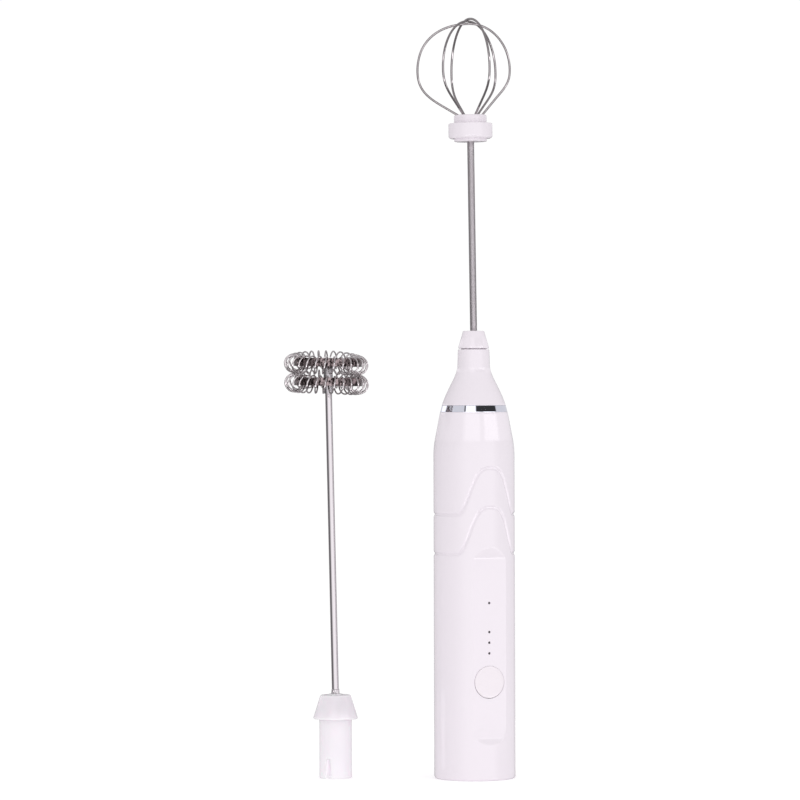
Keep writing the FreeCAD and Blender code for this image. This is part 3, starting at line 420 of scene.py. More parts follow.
def drawn_metal_group():
    """The look of drawn or rolled metal: fine streaks along Z, and blotches of dulling."""
    group, given, out = effect_group(
        "drawn_metal",
        [("Streak Size", 2500.0), ("Stretch", 0.02), ("Streak Depth", 0.1), ("Dulling", 0.5)],
        [("Streak", "NodeSocketFloat"), ("Dull", "NodeSocketFloat"), ("Normal", "NodeSocketVector")],
    )
    place = fed(group, "TexCoord", "Object")
    squeeze = fed(group, "CombineXYZ", "Vector", {"X": 1, "Y": 1, "Z": given["Stretch"]})
    along = fed(group, "VectorMath", "Vector", {0: place, 1: squeeze}, operation="MULTIPLY")
    streak = fed(group, "TexNoise", "Fac", {"Vector": along, "Scale": given["Streak Size"], "Detail": 4})
    blotch = fed(group, "TexNoise", "Fac", {"Vector": place, "Scale": 350, "Detail": 5})
    dull = fed(group, "Math", "Value", {0: blotch, 1: given["Dulling"]}, operation="MULTIPLY")
    bump = fed(group, "Bump", "Normal", {"Distance": 0.01 * mm, "Height": streak, "Strength": given["Streak Depth"]})
    feed(group, out, {"Streak": streak, "Dull": dull, "Normal": bump})
    return group


metal_group = drawn_metal_group()


def metal(name, light, dark, bright, dull, streak_size=2500, stretch=0.02, depth=0.1, contrast=1.0):
    """Bare metal between two tones, from its brightest to its dullest roughness."""
    made, tree, shader = blank_material(name)
    finish = fed(tree, "Group", "Streak", {"Streak Size": streak_size, "Stretch": stretch, "Streak Depth": depth},
                 node_tree=metal_group)
    share = ranged(tree, finish, 0, 1, 0.5 - 0.5 / contrast, 0.5 + 0.5 / contrast)
    feed(tree, shader, {
        "Metallic": 1, "Base Color": tones(tree, share, light, dark),
        "Roughness": ranged(tree, finish.node.outputs["Dull"], bright, dull), "Normal": finish.node.outputs["Normal"]})
    return made


def dress(material, *nodes):
    """Gives CAD nodes whose shape is right their material."""
    for name in nodes:
        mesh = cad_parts[name].data
        mesh.materials.clear()
        mesh.materials.append(material)


polished_steel = metal("polished_steel", (0.62, 0.60, 0.61), (0.50, 0.49, 0.50), 0.12, 0.30)
black_resin = plastic("black_resin", (0.02, 0.02, 0.022), (0.035, 0.035, 0.04), 0.35, 0.55, 2200, 0.3)
dress(polished_steel, "charge_socket_shell")
dress(black_resin, "charge_socket_tongue")


# ---------------------------------------------------------------- push button and its switch
# A white cap with a barely domed face stands proud of the panel in a round hole, with a fine gap that is a hair
# wider at the lower left. A flange keeps it in, and its stem presses the plunger of a small switch on the board.
button_face, button_back = -button_low.y, -button_high.y
flange_front = panel_back - 0.05 * mm
skirt_bore, skirt_floor = button_radius - 0.8 * mm, button_face - 1.2 * mm
stem_radius, stem_end = 1.6 * mm, 10.65 * mm


def domed_button():
    dome = 0.22 * mm
    face = [(button_radius * t, button_face - dome * t ** 4) for t in (0, 0.15, 0.3, 0.45, 0.6, 0.75, 0.86, 0.92)]
    side = softened([
        face[-1] + (0,), (button_radius, button_face - dome * 1.15, 0.18 * mm),
        (button_radius, flange_front, 0.05 * mm), (button_radius + button_flange, flange_front, 0.1 * mm),
        (button_radius + button_flange, button_back, 0.1 * mm), (skirt_bore, button_back, 0.1 * mm),
        (skirt_bore, skirt_floor, 0.2 * mm), (stem_radius, skirt_floor, 0.1 * mm),
        (stem_radius, stem_end, 0.1 * mm), (0, stem_end, 0)])
    return placed(turned(face[:-1] + side, steps=128, closed=False), facing_front(0, 0, button_z))


white_button = plastic("white_button", (0.88, 0.815, 0.865), (0.86, 0.795, 0.845), 0.18, 0.32, 1400, 0.16)
piece("domed_button", domed_button(), white_button, "power_button", ["button_cap"])
dress(black_resin, "switch_body", "switch_plunger")


# ---------------------------------------------------------------- indicator lamps
# Two clear strips lie behind the panel, with one round pin in each lamp hole, a little below the surface. Unlit,
# the pins look dark. One lamp shows charging and three show the speed.
def smoked_clear(name, tint):
    made, tree, shader = blank_material(name)
    skin = fed(tree, "Group", "Flow", node_tree=skin_group)
    feed(tree, shader, {
        "IOR": 1.49, "Transmission Weight": 0.35, "Base Color": tones(tree, skin, tint, tuple(c * 0.7 for c in tint)),
        "Roughness": ranged(tree, skin.node.outputs["Scuff"], 0.08, 0.3)})
    return made


lamp_clear = smoked_clear("lamp_clear", (0.10, 0.08, 0.09))
dress(lamp_clear, "speed_lens_strip", "charge_lens")


# ---------------------------------------------------------------- circuit board
# A one-millimetre glass-fibre board with green lacquer carries the socket, the switch, the lamps and the charging
# and motor chips. Two screws hold it to the carrier.
board_lacquer = plastic("board_lacquer", (0.02, 0.16, 0.06), (0.01, 0.10, 0.04), 0.25, 0.5, 1800, 0.5)
lamp_resin = plastic("lamp_resin", (0.80, 0.76, 0.45), (0.70, 0.62, 0.30), 0.2, 0.4)
zinc_plate = metal("zinc_plate", (0.66, 0.66, 0.62), (0.50, 0.50, 0.46), 0.28, 0.5, 900, 1.0)
dress(board_lacquer, "circuit_board")
dress(lamp_resin, "indicator_leds")
dress(black_resin, "control_chips")
dress(zinc_plate, "board_screws", "motor_screws")


# ---------------------------------------------------------------- carrier and battery cell
# A moulded cradle slides up inside the shell and holds the cell, the board and the motor. The cell wears a shrunk
# blue sleeve, with nickel strips welded to its ends and a foam pad above it.
cradle_nylon = plastic("cradle_nylon", (0.72, 0.71, 0.69), (0.62, 0.61, 0.60), 0.42, 0.62, 500, 0.5)
cell_sleeve = plastic("cell_sleeve", (0.03, 0.14, 0.42), (0.02, 0.10, 0.34), 0.18, 0.38, 300, 0.35)
nickel_strip = metal("nickel_strip", (0.72, 0.68, 0.60), (0.58, 0.55, 0.50), 0.2, 0.4)
pad_foam = plastic("pad_foam", (0.05, 0.05, 0.055), (0.02, 0.02, 0.02), 0.8, 0.95, 1500, 1.0)
dress(cradle_nylon, "inner_carrier")
dress(cell_sleeve, "battery_cell")
dress(nickel_strip, "cell_tabs")
dress(pad_foam, "cell_cushion")


# ---------------------------------------------------------------- motor
# A small direct-current motor in a drawn steel can, with sintered bushes, two arc magnets, a three-pole armature
# of stacked sheets with enamelled copper, and two rubber-covered leads to the board.
drawn_can = metal("drawn_can", (0.60, 0.60, 0.58), (0.46, 0.46, 0.45), 0.22, 0.42, 1200, 0.05)
sheet_stack = metal("sheet_stack", (0.30, 0.30, 0.31), (0.16, 0.16, 0.17), 0.35, 0.6, 600, 30.0, 0.6)
sintered_bronze = metal("sintered_bronze", (0.62, 0.43, 0.22), (0.42, 0.28, 0.13), 0.35, 0.6, 1500, 1.0, 0.4)
enamelled_copper = metal("enamelled_copper", (0.72, 0.26, 0.10), (0.52, 0.16, 0.06), 0.18, 0.35, 1400, 8.0, 0.8)
ferrite = plastic("ferrite", (0.06, 0.06, 0.065), (0.03, 0.03, 0.035), 0.6, 0.85, 1200, 0.8)
end_nylon = plastic("end_nylon", (0.70, 0.66, 0.56), (0.60, 0.56, 0.46), 0.4, 0.6, 700, 0.4)
lead_rubber = plastic("lead_rubber", (0.52, 0.02, 0.015), (0.38, 0.015, 0.01), 0.4, 0.6, 1600, 0.4)
seal_silicone = plastic("seal_silicone", (0.76, 0.75, 0.72), (0.68, 0.67, 0.64), 0.45, 0.65, 800, 0.4)
dress(drawn_can, "motor_can")
dress(sheet_stack, "armature_core")
dress(sintered_bronze, "motor_front_bush", "motor_rear_bush", "motor_terminals")
dress(enamelled_copper, "armature_windings", "commutator")
dress(ferrite, "motor_magnets")
dress(end_nylon, "motor_end_cap")
dress(lead_rubber, "motor_leads")
dress(seal_silicone, "shaft_seal")
dress(polished_steel, "motor_shaft")


# ---------------------------------------------------------------- chrome ring
# A pressed ring of chrome-plated brass, gripped between the rim of the shell and the foot of the nose. It follows
# their taper and lies a little inside both.
ring_low, ring_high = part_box("chrome_ring")
ring_flank = math.radians(14.5)
ring_top_radius = rim_radius - 0.65 * mm
ring_depth = ring_high.z - ring_low.z
ring_foot = ring_top_radius + ring_depth * math.tan(ring_flank)
ring_bore = ring_top_radius - 1.1 * mm
chrome = metal("chrome", (0.85, 0.88, 0.95), (0.81, 0.84, 0.92), 0.02, 0.07, 900, 1.0, 0.02)
near_edges = [(ring_foot + (ring_top_radius - ring_foot) * t, ring_low.z + ring_depth * t, 0) for t in (0.08, 0.92)]
chrome_band = turned(softened([
    (ring_bore, ring_low.z, 0), (ring_foot, ring_low.z, 0.05 * mm), *near_edges,
    (ring_top_radius, ring_high.z, 0.05 * mm), (ring_bore, ring_high.z, 0)]), steps=256)
piece("chrome_band", chrome_band, chrome, "handle", ["chrome_ring"])


# ---------------------------------------------------------------- nose
# A separate white moulding with an ogee flank that ends in a straight neck. Its skirt goes down inside the rim of
# the shell, and its bore guides the barrel of whichever whisk is plugged in.
nose_low, nose_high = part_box("nose_cone")
neck_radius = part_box("balloon_plug")[1].x
neck_bore, neck_bore_depth = 4.45 * mm, 9 * mm
neck_length = 4.8 * mm
nose_rim = nose_high.x
nose_lean, lean_reach, neck_reach = math.radians(19), 0.56, 0.315
skirt_radius = rim_radius - shell_wall - 0.1 * mm
skirt_inside = skirt_radius - 1.2 * mm


def bezier(a, b, c, d, steps):
    """Points along a cubic curve through (radius, height) poles, without its first point."""
    points = []
    for step in range(1, steps + 1):
        t = step / steps
        s = 1 - t
        points.append(tuple(
            s ** 3 * a[i] + 3 * s * s * t * b[i] + 3 * s * t * t * c[i] + t ** 3 * d[i] for i in (0, 1)))
    return points


def nose_moulding():
    rim_z, flank = ring_high.z, nose_high.z - ring_high.z - neck_length
    rim, foot = (nose_rim, rim_z), (neck_radius + 0.15 * mm, rim_z + flank)
    leaves = (nose_rim - math.sin(nose_lean) * flank * lean_reach, rim_z + math.cos(nose_lean) * flank * lean_reach)
    arrives = (foot[0], foot[1] - flank * neck_reach)
    curve = bezier(rim, leaves, arrives, foot, 28)
    rest = softened([
        curve[-1] + (0,), (neck_radius, nose_high.z, 0.3 * mm), (neck_bore, nose_high.z, 0.25 * mm),
        (neck_bore, nose_high.z - neck_bore_depth, 0.2 * mm), (skirt_inside, rim_z, 0.2 * mm),
        (skirt_inside, nose_low.z, 0), (skirt_radius, nose_low.z, 0.1 * mm), (skirt_radius, rim_z, 0),
        (nose_rim, rim_z, 0.12 * mm), curve[0] + (0,)])
    return turned(curve[:-1] + rest[:-1], steps=224)


piece("nose_moulding", nose_moulding(), white_abs, "handle", ["nose_cone"], crease=40)
hub_acetal = plastic("hub_acetal", (0.80, 0.79, 0.80), (0.74, 0.73, 0.75), 0.34, 0.5, 700, 0.3)
dress(hub_acetal, "drive_hub")


# ---------------------------------------------------------------- balloon whisk: plug and rod
# The plug is moulded round the end of a drawn steel rod: a short cone that closes the neck, over a slotted barrel
# that goes down onto the drive hub.
plug_low, plug_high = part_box("balloon_plug")
barrel_bore, bore_depth = 3.2 * mm, 12.5 * mm
rod_radius = 1.2 * mm
rod_foot = bore_depth + 1.5 * mm
lean_azimuth = math.radians(156)


def leaning(pivot, degrees):
    """The small lean of a rod in its plug, about the point of the axis at the height pivot."""
    side = Vector((-math.sin(lean_azimuth), math.cos(lean_azimuth), 0))
    turn = Matrix.Rotation(math.radians(degrees), 4, side)
    return Matrix.Translation((0, 0, pivot)) @ turn @ Matrix.Translation((0, 0, -pivot))


def slotted_plug(base, barrel, flange, notch, turn, lean, boss=0.0):
    """A plug on the axis, with its barrel down to base and a hole for its leaning rod.

    The barrel is (radius, length), the flange is (foot radius, head radius, top, edge), and the notch across
    the barrel is (width at the mouth, width at the top, height), turned about the axis by turn.
    """
    radius, length = barrel
    foot, head, top, edge = flange
    mouth, notch_top, rise = notch
    boss_top = top + 0.4 * mm
    crown = [(boss, top, 0.1 * mm), (boss, boss_top, 0.15 * mm), (0, boss_top, 0)] if boss else [(0, top, 0)]
    bm = turned(softened([
        (0, base + bore_depth, 0), (barrel_bore, base + bore_depth, 0.3 * mm), (barrel_bore, base, 0.15 * mm),
        (radius, base, 0.5 * mm), (radius, base + length, 0.25 * mm), (foot, base + length, 0.35 * mm),
        (head, top, edge)] + crown), steps=160, closed=False)
    slot = bmesh.new()
    bmesh.ops.create_cube(slot, size=1)
    for v in slot.verts:
        width = notch_top if v.co.z > 0 else 2 * mouth - notch_top
        v.co = (4 * radius * v.co.x, width * v.co.y, 2 * rise * v.co.z)
    across = [e for e in slot.edges if abs(e.verts[0].co.x - e.verts[1].co.x) > radius]
    bmesh.ops.bevel(slot, geom=across, offset=0.3 * mm, segments=3, profile=0.5, affect="EDGES", material=-1)
    slot = placed(slot, Matrix.Translation((0, 0, base)) @ Matrix.Rotation(turn, 4, "Z"))
    hole_end = top + 2 * mm
    middle = Matrix.Translation((0, 0, (base + rod_foot + hole_end) / 2))
    hole = round_bar(rod_radius, hole_end - base - rod_foot, lean @ middle)
    return cut_away(bm, [slot, hole])


balloon_lean = leaning(plug_high.z, 0.73)
balloon_barrel, balloon_slot = (4.3 * mm, 19.9 * mm), (1.8 * mm, 1.8 * mm, 5.9 * mm)
balloon_flange = (neck_radius, neck_radius - 1.8 * mm, plug_high.z, 0.35 * mm)
fitted_plug = slotted_plug(plug_low.z, balloon_barrel, balloon_flange, balloon_slot, 0, balloon_lean)
piece("fitted_plug", fitted_plug, white_abs, "balloon_whisk", ["balloon_plug"])

hub_bottom = plug_high.z + 65.4 * mm
rod_in_hub = 5.5 * mm
rod_low, rod_high = plug_low.z + rod_foot, hub_bottom + rod_in_hub
satin_steel = metal("satin_steel", (0.56, 0.53, 0.54), (0.42, 0.40, 0.41), 0.48, 0.62, 3200, 0.015, 0.35)
fitted_rod = turned(softened([(0, rod_low, 0), (rod_radius, rod_low, 0.2 * mm), (rod_radius, rod_high, 0.2 * mm),
                              (0, rod_high, 0)]), steps=48, closed=False)
piece("fitted_rod", placed(fitted_rod, balloon_lean), satin_steel, "balloon_whisk", ["balloon_rod"])


# ---------------------------------------------------------------- balloon whisk: hub and collar
# A white disc moulded on the rod holds the six wire ends in a circle of slanting holes. A collar with a chamfered
# lower edge is pressed up round it.
hub_radius, hub_top = 5.65 * mm, hub_bottom + 9.2 * mm
collar_radius, collar_bottom, collar_height = 7.6 * mm, hub_bottom + 1.05 * mm, 5.25 * mm
wire_radius = 0.4 * mm
root_circle, root_angle, root_depth = 4.2 * mm, math.radians(49.5), 1.5 * mm
loop_turn = math.radians(-28.5)
loop_lean, loop_lean_angle = 2.05 * mm, math.radians(9)


def root_heading(index, side):
    """The way a wire leaves the hub on one side of its loop, in the plane of that loop."""
    angle = root_angle - (side * loop_lean_angle if index == 0 else 0)
    return Vector((side * math.sin(angle), 0, math.cos(angle)))


def loop_plane(index):
    return Matrix.Rotation(loop_turn + index * math.pi / 3, 4, "Z")


def whisk_hub():
    bm = turned(softened([
        (0, hub_bottom, 0), (hub_radius, hub_bottom, 0.3 * mm), (hub_radius, hub_top, 0.5 * mm), (0, hub_top, 0)]),
        steps=128, closed=False)
    holes = []
    for index in range(3):
        for side in (-1, 1):
            heading = root_heading(index, side)
            middle = Vector((side * root_circle, 0, hub_top))
            turn = heading.to_track_quat("Z", "Y").to_matrix().to_4x4()
            hole = round_bar(wire_radius * 1.12, 2 * root_depth, Matrix.Translation(middle) @ turn, 24)
            holes.append(placed(hole, loop_plane(index)))
    return placed(cut_away(bm, holes), balloon_lean)


piece("whisk_hub", whisk_hub(), white_abs, "balloon_whisk", ["wire_hub"])
collar_top = collar_bottom + collar_height
pressed_collar = turned(softened([
    (hub_radius, collar_bottom, 0.1 * mm), (collar_radius, collar_bottom, 0.9 * mm),
    (collar_radius, collar_top, 0.3 * mm), (hub_radius, collar_top, 0.1 * mm)]), steps=160)
piece("pressed_collar", placed(pressed_collar, balloon_lean), white_abs, "balloon_whisk",
      ["hub_collar"])


# ---------------------------------------------------------------- balloon whisk: wire loops
# Three loops of spring wire, at 60 degrees to one another, cross at the crown one over the other. Each end runs
# straight into the hub. The first loop has been bent wider on one side.
loop_half_width, loop_widest = 16 * mm, 15.45 * mm
loop_height, loop_step = 33.25 * mm, 0.85 * mm
loop_straight = 6.5 * mm
loop_roundness, bent_roundness, last_loop_pinch = 0.55, 0.62, 1.4 * mm


def curve_skin(curve):
    """The mesh of a curve's tube, as a bmesh."""
    holder = in_scene("wire", curve)
    mesh = bpy.data.meshes.new_from_object(holder.evaluated_get(bpy.context.evaluated_depsgraph_get()))
    bpy.data.objects.remove(holder)
    bm = bmesh.new()
    bm.from_mesh(mesh)
    bmesh.ops.remove_doubles(bm, verts=bm.verts, dist=1e-7)
    bmesh.ops.recalc_face_normals(bm, faces=bm.faces)
    return bm


def wire_curve(name, radius, sides):
    """An empty curve that will be a round wire, with its ends capped."""
    curve = bpy.data.curves.new(name, "CURVE")
    curve.dimensions = "3D"
    curve.bevel_depth = radius
    curve.bevel_resolution = sides
    curve.use_fill_caps = True
    return curve


def loop_wire(name, knots):
    """One loop of wire through Bezier knots, each given as (point, handle before, handle after)."""
    curve = wire_curve(name, wire_radius, 3)
    curve.resolution_u = 28
    line = curve.splines.new("BEZIER")
    line.bezier_points.add(len(knots) - 1)
    for point, (place, before, after) in zip(line.bezier_points, knots):
        point.handle_left_type = point.handle_right_type = "FREE"
        point.co, point.handle_left, point.handle_right = place, before, after
    return curve_skin(curve)


def loop_knots(index):
    """Knots of one loop, from the buried end on one side, over the crown, to the buried end on the other."""
    crown = Vector((0, 0, hub_top + loop_height - (2 - index) * loop_step))
    up = Vector((0, 0, 1))
    sides, reach = [], []
    for side in (-1, 1):
        heading = root_heading(index, side)
        root = Vector((side * root_circle, 0, hub_top))
        start, bend = root - heading * root_depth, root + heading * loop_straight
        half_width = loop_half_width - (side * loop_lean if index == 0 else 0)
        half_width -= last_loop_pinch if index == 2 and side > 0 else 0
        roundness = bent_roundness if index == 0 and side < 0 else loop_roundness
        widest = Vector((side * half_width, 0, hub_top + loop_widest))
        handle = 0.42 * (widest - bend).length
        sides.append([
            (start, start, start.lerp(bend, 0.33)),
            (bend, start.lerp(bend, 0.67), bend + heading * handle),
            (widest, widest - up * handle, widest + up * (crown.z - widest.z) * roundness),
        ])
        reach.append(widest.x * roundness)
    rising, falling = sides
    top = (crown, crown + Vector((reach[0], 0, 0)), crown + Vector((reach[1], 0, 0)))
    back = [(place, after, before) for place, before, after in reversed(falling)]
    return rising + [top] + back


wire_steel = metal("wire_steel", (0.54, 0.51, 0.51), (0.34, 0.32, 0.325), 0.03, 0.08, 2400, 0.05, 0.05)
for index in range(3):
    name = f"balloon_wire_{index + 1}"
    wire = placed(loop_wire(name, loop_knots(index)), balloon_lean @ loop_plane(index))
    piece(name, wire, wire_steel, "balloon_whisk", [f"whisk_loop_{index + 1}"], crease=60)


# ---------------------------------------------------------------- spring whisk: plug and rod
# The loose whisk stands on a wider slotted barrel, under a skirted flange, both of a milky nylon. Some light comes
# through the barrel's wall. The inside that its slot shows also has a painted glow, and the flange has painted
# shade. The rod leans a little, and is crimped where it enters.
spare_low, spare_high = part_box("spring_plug")
spare_place = Matrix.Translation(((spare_low.x + spare_high.x) / 2, (spare_low.y + spare_high.y) / 2, 0))
boss_height, boss_radius = 0.4 * mm, 2.4 * mm
spare_flange_top = spare_high.z - boss_height
spare_lean = leaning(spare_flange_top, 1.14)
spare_barrel, spare_notch = (5.6 * mm, 20.5 * mm), (2.8 * mm, 1.2 * mm, 7.0 * mm)
spare_flange = ((spare_high.x - spare_low.x) / 2, 5.2 * mm, spare_flange_top, 0.4 * mm)
spare_plug = slotted_plug(0, spare_barrel, spare_flange, spare_notch, math.radians(41), spare_lean, boss_radius)
milky_nylon = plastic("milky_nylon", (0.90, 0.86, 0.90), (0.87, 0.83, 0.88), 0.16, 0.28, 700, 0.2,
                      glow=1.0, glow_reach=2.5)


def paint_barrel_shade_and_glow(tree, barrel_radius, barrel_length):
    """Paints shade on the flange above the barrel, a little darker than the barrel, and paints a glow on the inside,
    which the slot shows.
    """
    place = fed(tree, "TexCoord", "Object")
    height = fed(tree, "SeparateXYZ", "Z", {"Vector": place})
    # Painted shade: above the barrel, the flange's nylon tone is darkened to 0.91.
    painted_flange_shade = ranged(tree, height, 1.0, 0.91, barrel_length - 0.4 * mm, barrel_length + 0.4 * mm)
    nylon_tone = tree.nodes["Mix"].outputs["Result"]
    tone = fed(tree, "VectorMath", "Vector", {0: nylon_tone, "Scale": painted_flange_shade}, operation="SCALE")
    # Painted glow: a weak emission on the inside faces of the barrel, up to the slot's top, which the slot shows.
    outward = fed(tree, "VectorMath", "Vector", {0: place, 1: spare_place.translation}, operation="SUBTRACT")
    level = fed(tree, "VectorMath", "Vector", {0: outward, 1: (1, 1, 0)}, operation="MULTIPLY")
    from_axis = fed(tree, "VectorMath", "Value", {0: level}, operation="LENGTH")
    inside = ranged(tree, from_axis, 0, 1, barrel_radius - 0.1 * mm, barrel_radius - 0.7 * mm)
    painted_slot_glow = fed(tree, "Math", "Value", {0: inside, 1: ranged(tree, height, 0, 1, 10 * mm, 8 * mm)},
                  operation="MULTIPLY")
    feed(tree, tree.nodes["Principled BSDF"], {
        "Base Color": tone, "Emission Color": painted_slot_glow, "Emission Strength": 0.16})


paint_barrel_shade_and_glow(milky_nylon.node_tree, *spare_barrel)
piece("spare_plug", placed(spare_plug, spare_place), milky_nylon, "spare_whisk", ["spring_plug"])


def crimped_rod(low, high, radius, crimp):
    """A rod with a knurled bulge, two rows of dimples high, where it enters the flange."""
    bm = turned(softened([
        (0, low, 0), (radius, low, 0.2 * mm), (radius, crimp, 0), (radius + 0.2 * mm, crimp + 0.1 * mm, 0.05 * mm),
        (radius + 0.2 * mm, crimp + 1.4 * mm, 0.05 * mm), (radius, crimp + 1.6 * mm, 0), (radius, high, 0.2 * mm),
        (0, high, 0)]), steps=48, closed=False)
    belt = [f for f in bm.faces if crimp < f.calc_center_median().z < crimp + 1.5 * mm
            and math.hypot(*f.calc_center_median().xy) > radius]
    edges = list({e for f in belt for e in f.edges if abs(e.verts[0].co.z - e.verts[1].co.z) > 0.5 * mm})
    bmesh.ops.subdivide_edges(bm, edges=edges, cuts=5, use_grid_fill=True)
    for v in bm.verts:
        if crimp + 0.1 * mm < v.co.z < crimp + 1.4 * mm and math.hypot(*v.co.xy) > radius:
            angle = math.atan2(v.co.y, v.co.x)
            dent = 0.22 * mm * max(0, math.sin(9 * angle) * math.sin(math.pi * (v.co.z - crimp) / (0.7 * mm)))
            v.co.xy *= 1 - dent / radius
    return bm


head_bottom = spare_flange_top + 104.25 * mm
sleeve_length = 12.2 * mm
bright_steel = metal("bright_steel", (0.82, 0.79, 0.80), (0.70, 0.67, 0.68), 0.05, 0.13, 3200, 0.015, 0.2)
spare_rod = crimped_rod(rod_foot, head_bottom + sleeve_length, rod_radius, spare_high.z)
spare_rod = placed(spare_rod, spare_place @ spare_lean)
piece("spare_rod", spare_rod, bright_steel, "spare_whisk", ["spring_rod"])


# ---------------------------------------------------------------- spring whisk: head
# A sleeve pressed on the end of the rod carries two rolled bands on flat spokes. Round each band hangs a long fine
# spring closed into a ring, a little low and bent a little out of flat.
sleeve_radius = rod_radius + 0.4 * mm
head_centre = head_bottom + 7.4 * mm
head_turn = math.radians(-24)
coil_spacing = 6.7 * mm
coil_radius, coil_minor, coil_wire = 11.4 * mm, 2.975 * mm, 0.275 * mm
coil_turns, coil_gap, steps_per_turn = 28, math.radians(1.2), 24
coil_shift, coil_drop, coil_saddle = 0.6 * mm, 0.35 * mm, 0.35 * mm
band_height, band_thickness = 2.8 * mm, 0.8 * mm

sleeve_top = head_bottom + sleeve_length
sleeve = turned(softened([
    (rod_radius, head_bottom, 0.05 * mm), (sleeve_radius, head_bottom, 0.1 * mm),
    (sleeve_radius, sleeve_top, 0.1 * mm), (rod_radius, sleeve_top, 0.05 * mm)]), steps=64)
sleeve = placed(sleeve, spare_place @ spare_lean)
piece("pressed_sleeve", sleeve, polished_steel, "spare_whisk", ["head_sleeve"])


def on_head(level, roll, pitch, shift, drop):
    """Places a ring piece round the leaning rod, tilted by roll and pitch in degrees."""
    middle = spare_lean @ Vector((0, 0, head_centre + level)) - Vector((0, 0, drop))
    turn = Matrix.Rotation(head_turn, 4, "Z") @ Matrix.Rotation(math.radians(roll), 4, "Y")
    turn = turn @ Matrix.Rotation(math.radians(pitch), 4, "X")
    return spare_place @ Matrix.Translation(middle) @ turn @ Matrix.Translation((-shift, 0, 0))


def rolled_band():
    """A band with a turned-over look: eased edges, and a flat spoke each side that ends at the sleeve."""
    outer = coil_radius + band_thickness / 2
    inner = outer - band_thickness
    bm = turned(softened([
        (inner, -band_height / 2, 0.1 * mm), (outer, -band_height / 2, 0.1 * mm),
        (outer, band_height / 2, 0.1 * mm), (inner, band_height / 2, 0.1 * mm)]), steps=144)
    pitch = 2 * math.pi * (coil_radius - coil_minor) / coil_turns
    spoke_width = pitch - 2 * coil_wire - 0.5 * mm
    for side in (-1, 1):
        spoke = bmesh.new()
        bmesh.ops.create_cube(spoke, size=1)
        bmesh.ops.scale(spoke, vec=(coil_radius - sleeve_radius, spoke_width, band_height), verts=spoke.verts)
        bmesh.ops.translate(spoke, vec=(side * (sleeve_radius + coil_radius) / 2, 0, 0), verts=spoke.verts)
        bmesh.ops.bevel(spoke, geom=spoke.edges[:], offset=0.08 * mm, segments=2, profile=0.5,
                        affect="EDGES", material=-1)
        bm.from_mesh(mesh_of("spoke", spoke))
    return bm


def ring_spring(name):
    """The spring as one wire wound round the ring, open by a hair where its two ends meet."""
    curve = wire_curve(name, coil_wire, 2)
    steps = steps_per_turn * coil_turns
    line = curve.splines.new("POLY")
    line.points.add(steps)
    for i, point in enumerate(line.points):
        turn = math.pi / 2 + coil_gap / 2 + (2 * math.pi - coil_gap) * i / steps
        reach = coil_radius + coil_minor * math.cos(coil_turns * turn)
        rise = coil_minor * math.sin(coil_turns * turn) - coil_saddle * math.cos(2 * turn)
        point.co = (reach * math.cos(turn), reach * math.sin(turn), rise, 1)
    return curve_skin(curve)


band_steel = metal("band_steel", (0.40, 0.33, 0.33), (0.012, 0.009, 0.009), 0.12, 0.34, 1300, 0.8, 1.0, contrast=5)
spring_steel = metal("spring_steel", (0.96, 0.93, 0.93), (0.46, 0.42, 0.42), 0.04, 0.12, 1500, 1.0, 0.1)
for level, label in ((coil_spacing / 2, "upper"), (-coil_spacing / 2, "lower")):
    band = placed(rolled_band(), on_head(level, 1.0, 0, 0, 0))
    piece(f"{label}_band", band, band_steel, "spare_whisk", [f"{label}_ring_frame"])
    spring = placed(ring_spring(f"{label}_spring"), on_head(level, 2.3, 5.5, coil_shift, coil_drop))
    piece(f"{label}_spring", spring, spring_steel, "spare_whisk", [f"{label}_coil"], crease=60)


# ---------------------------------------------------------------- floor, light and camera
# A pale matt floor in a white room, which lights the object evenly, a little more from the front. Soft and dark
# screens stand round it in six rings, and show in the polished surfaces, which don't show the floor. The camera
# stands level with the middle of the object, a little round from the front.
floor_radius = 0.25
floor_mesh = bmesh.new()
bmesh.ops.create_circle(floor_mesh, cap_ends=True, segments=96, radius=floor_radius)
floor = in_scene("floor", mesh_of("floor", floor_mesh))
floor_white, floor_tree, floor_shader = blank_material("floor_white")
feed(floor_tree, floor_shader, {
    "Base Color": (0.93, 0.93, 0.93, 1), "Roughness": 0.9, "Specular IOR Level": 0.1,
    "Emission Color": (1, 1, 1, 1), "Emission Strength": 0.25})
floor_seen = fed(floor_tree, "MixShader", "Shader", {
    "Fac": fed(floor_tree, "LightPath", "Is Glossy Ray"),
    1: floor_shader.outputs["BSDF"], 2: fed(floor_tree, "BsdfTransparent", "BSDF")})
feed(floor_tree, floor_tree.nodes["Material Output"], {"Surface": floor_seen})
floor.data.materials.append(floor_white)

camera_turn = math.radians(-23)
camera_right = Vector((math.cos(camera_turn), math.sin(camera_turn), 0))
camera_back = Vector((math.sin(camera_turn), -math.cos(camera_turn), 0))

world = bpy.data.worlds.new("white_room")
bpy.context.scene.world = world
world.use_nodes = True
world.cycles.sampling_method = "NONE"
room = world.node_tree
ray = fed(room, "TexCoord", "Generated")
squared = fed(room, "Mapping", "Vector", {"Vector": ray, "Rotation": (0, 0, -camera_turn)})
split = fed(room, "SeparateXYZ", "X", {"Vector": squared}).node.outputs
ahead = fed(room, "Math", "Value", {0: split["Y"], 1: -1}, operation="MULTIPLY")
angle = fed(room, "Math", "Value", {0: split["X"], 1: ahead}, operation="ARCTAN2")
around = ranged(room, angle, 0, 1, -math.pi, math.pi)
opened = fed(room, "Math", "Value", {0: ahead, 1: 2, 2: 2.001}, operation="MULTIPLY_ADD")
halved = fed(room, "Math", "Value", {0: opened}, operation="SQRT")
slant = fed(room, "Math", "Value", {0: split["Z"], 1: halved}, operation="DIVIDE")


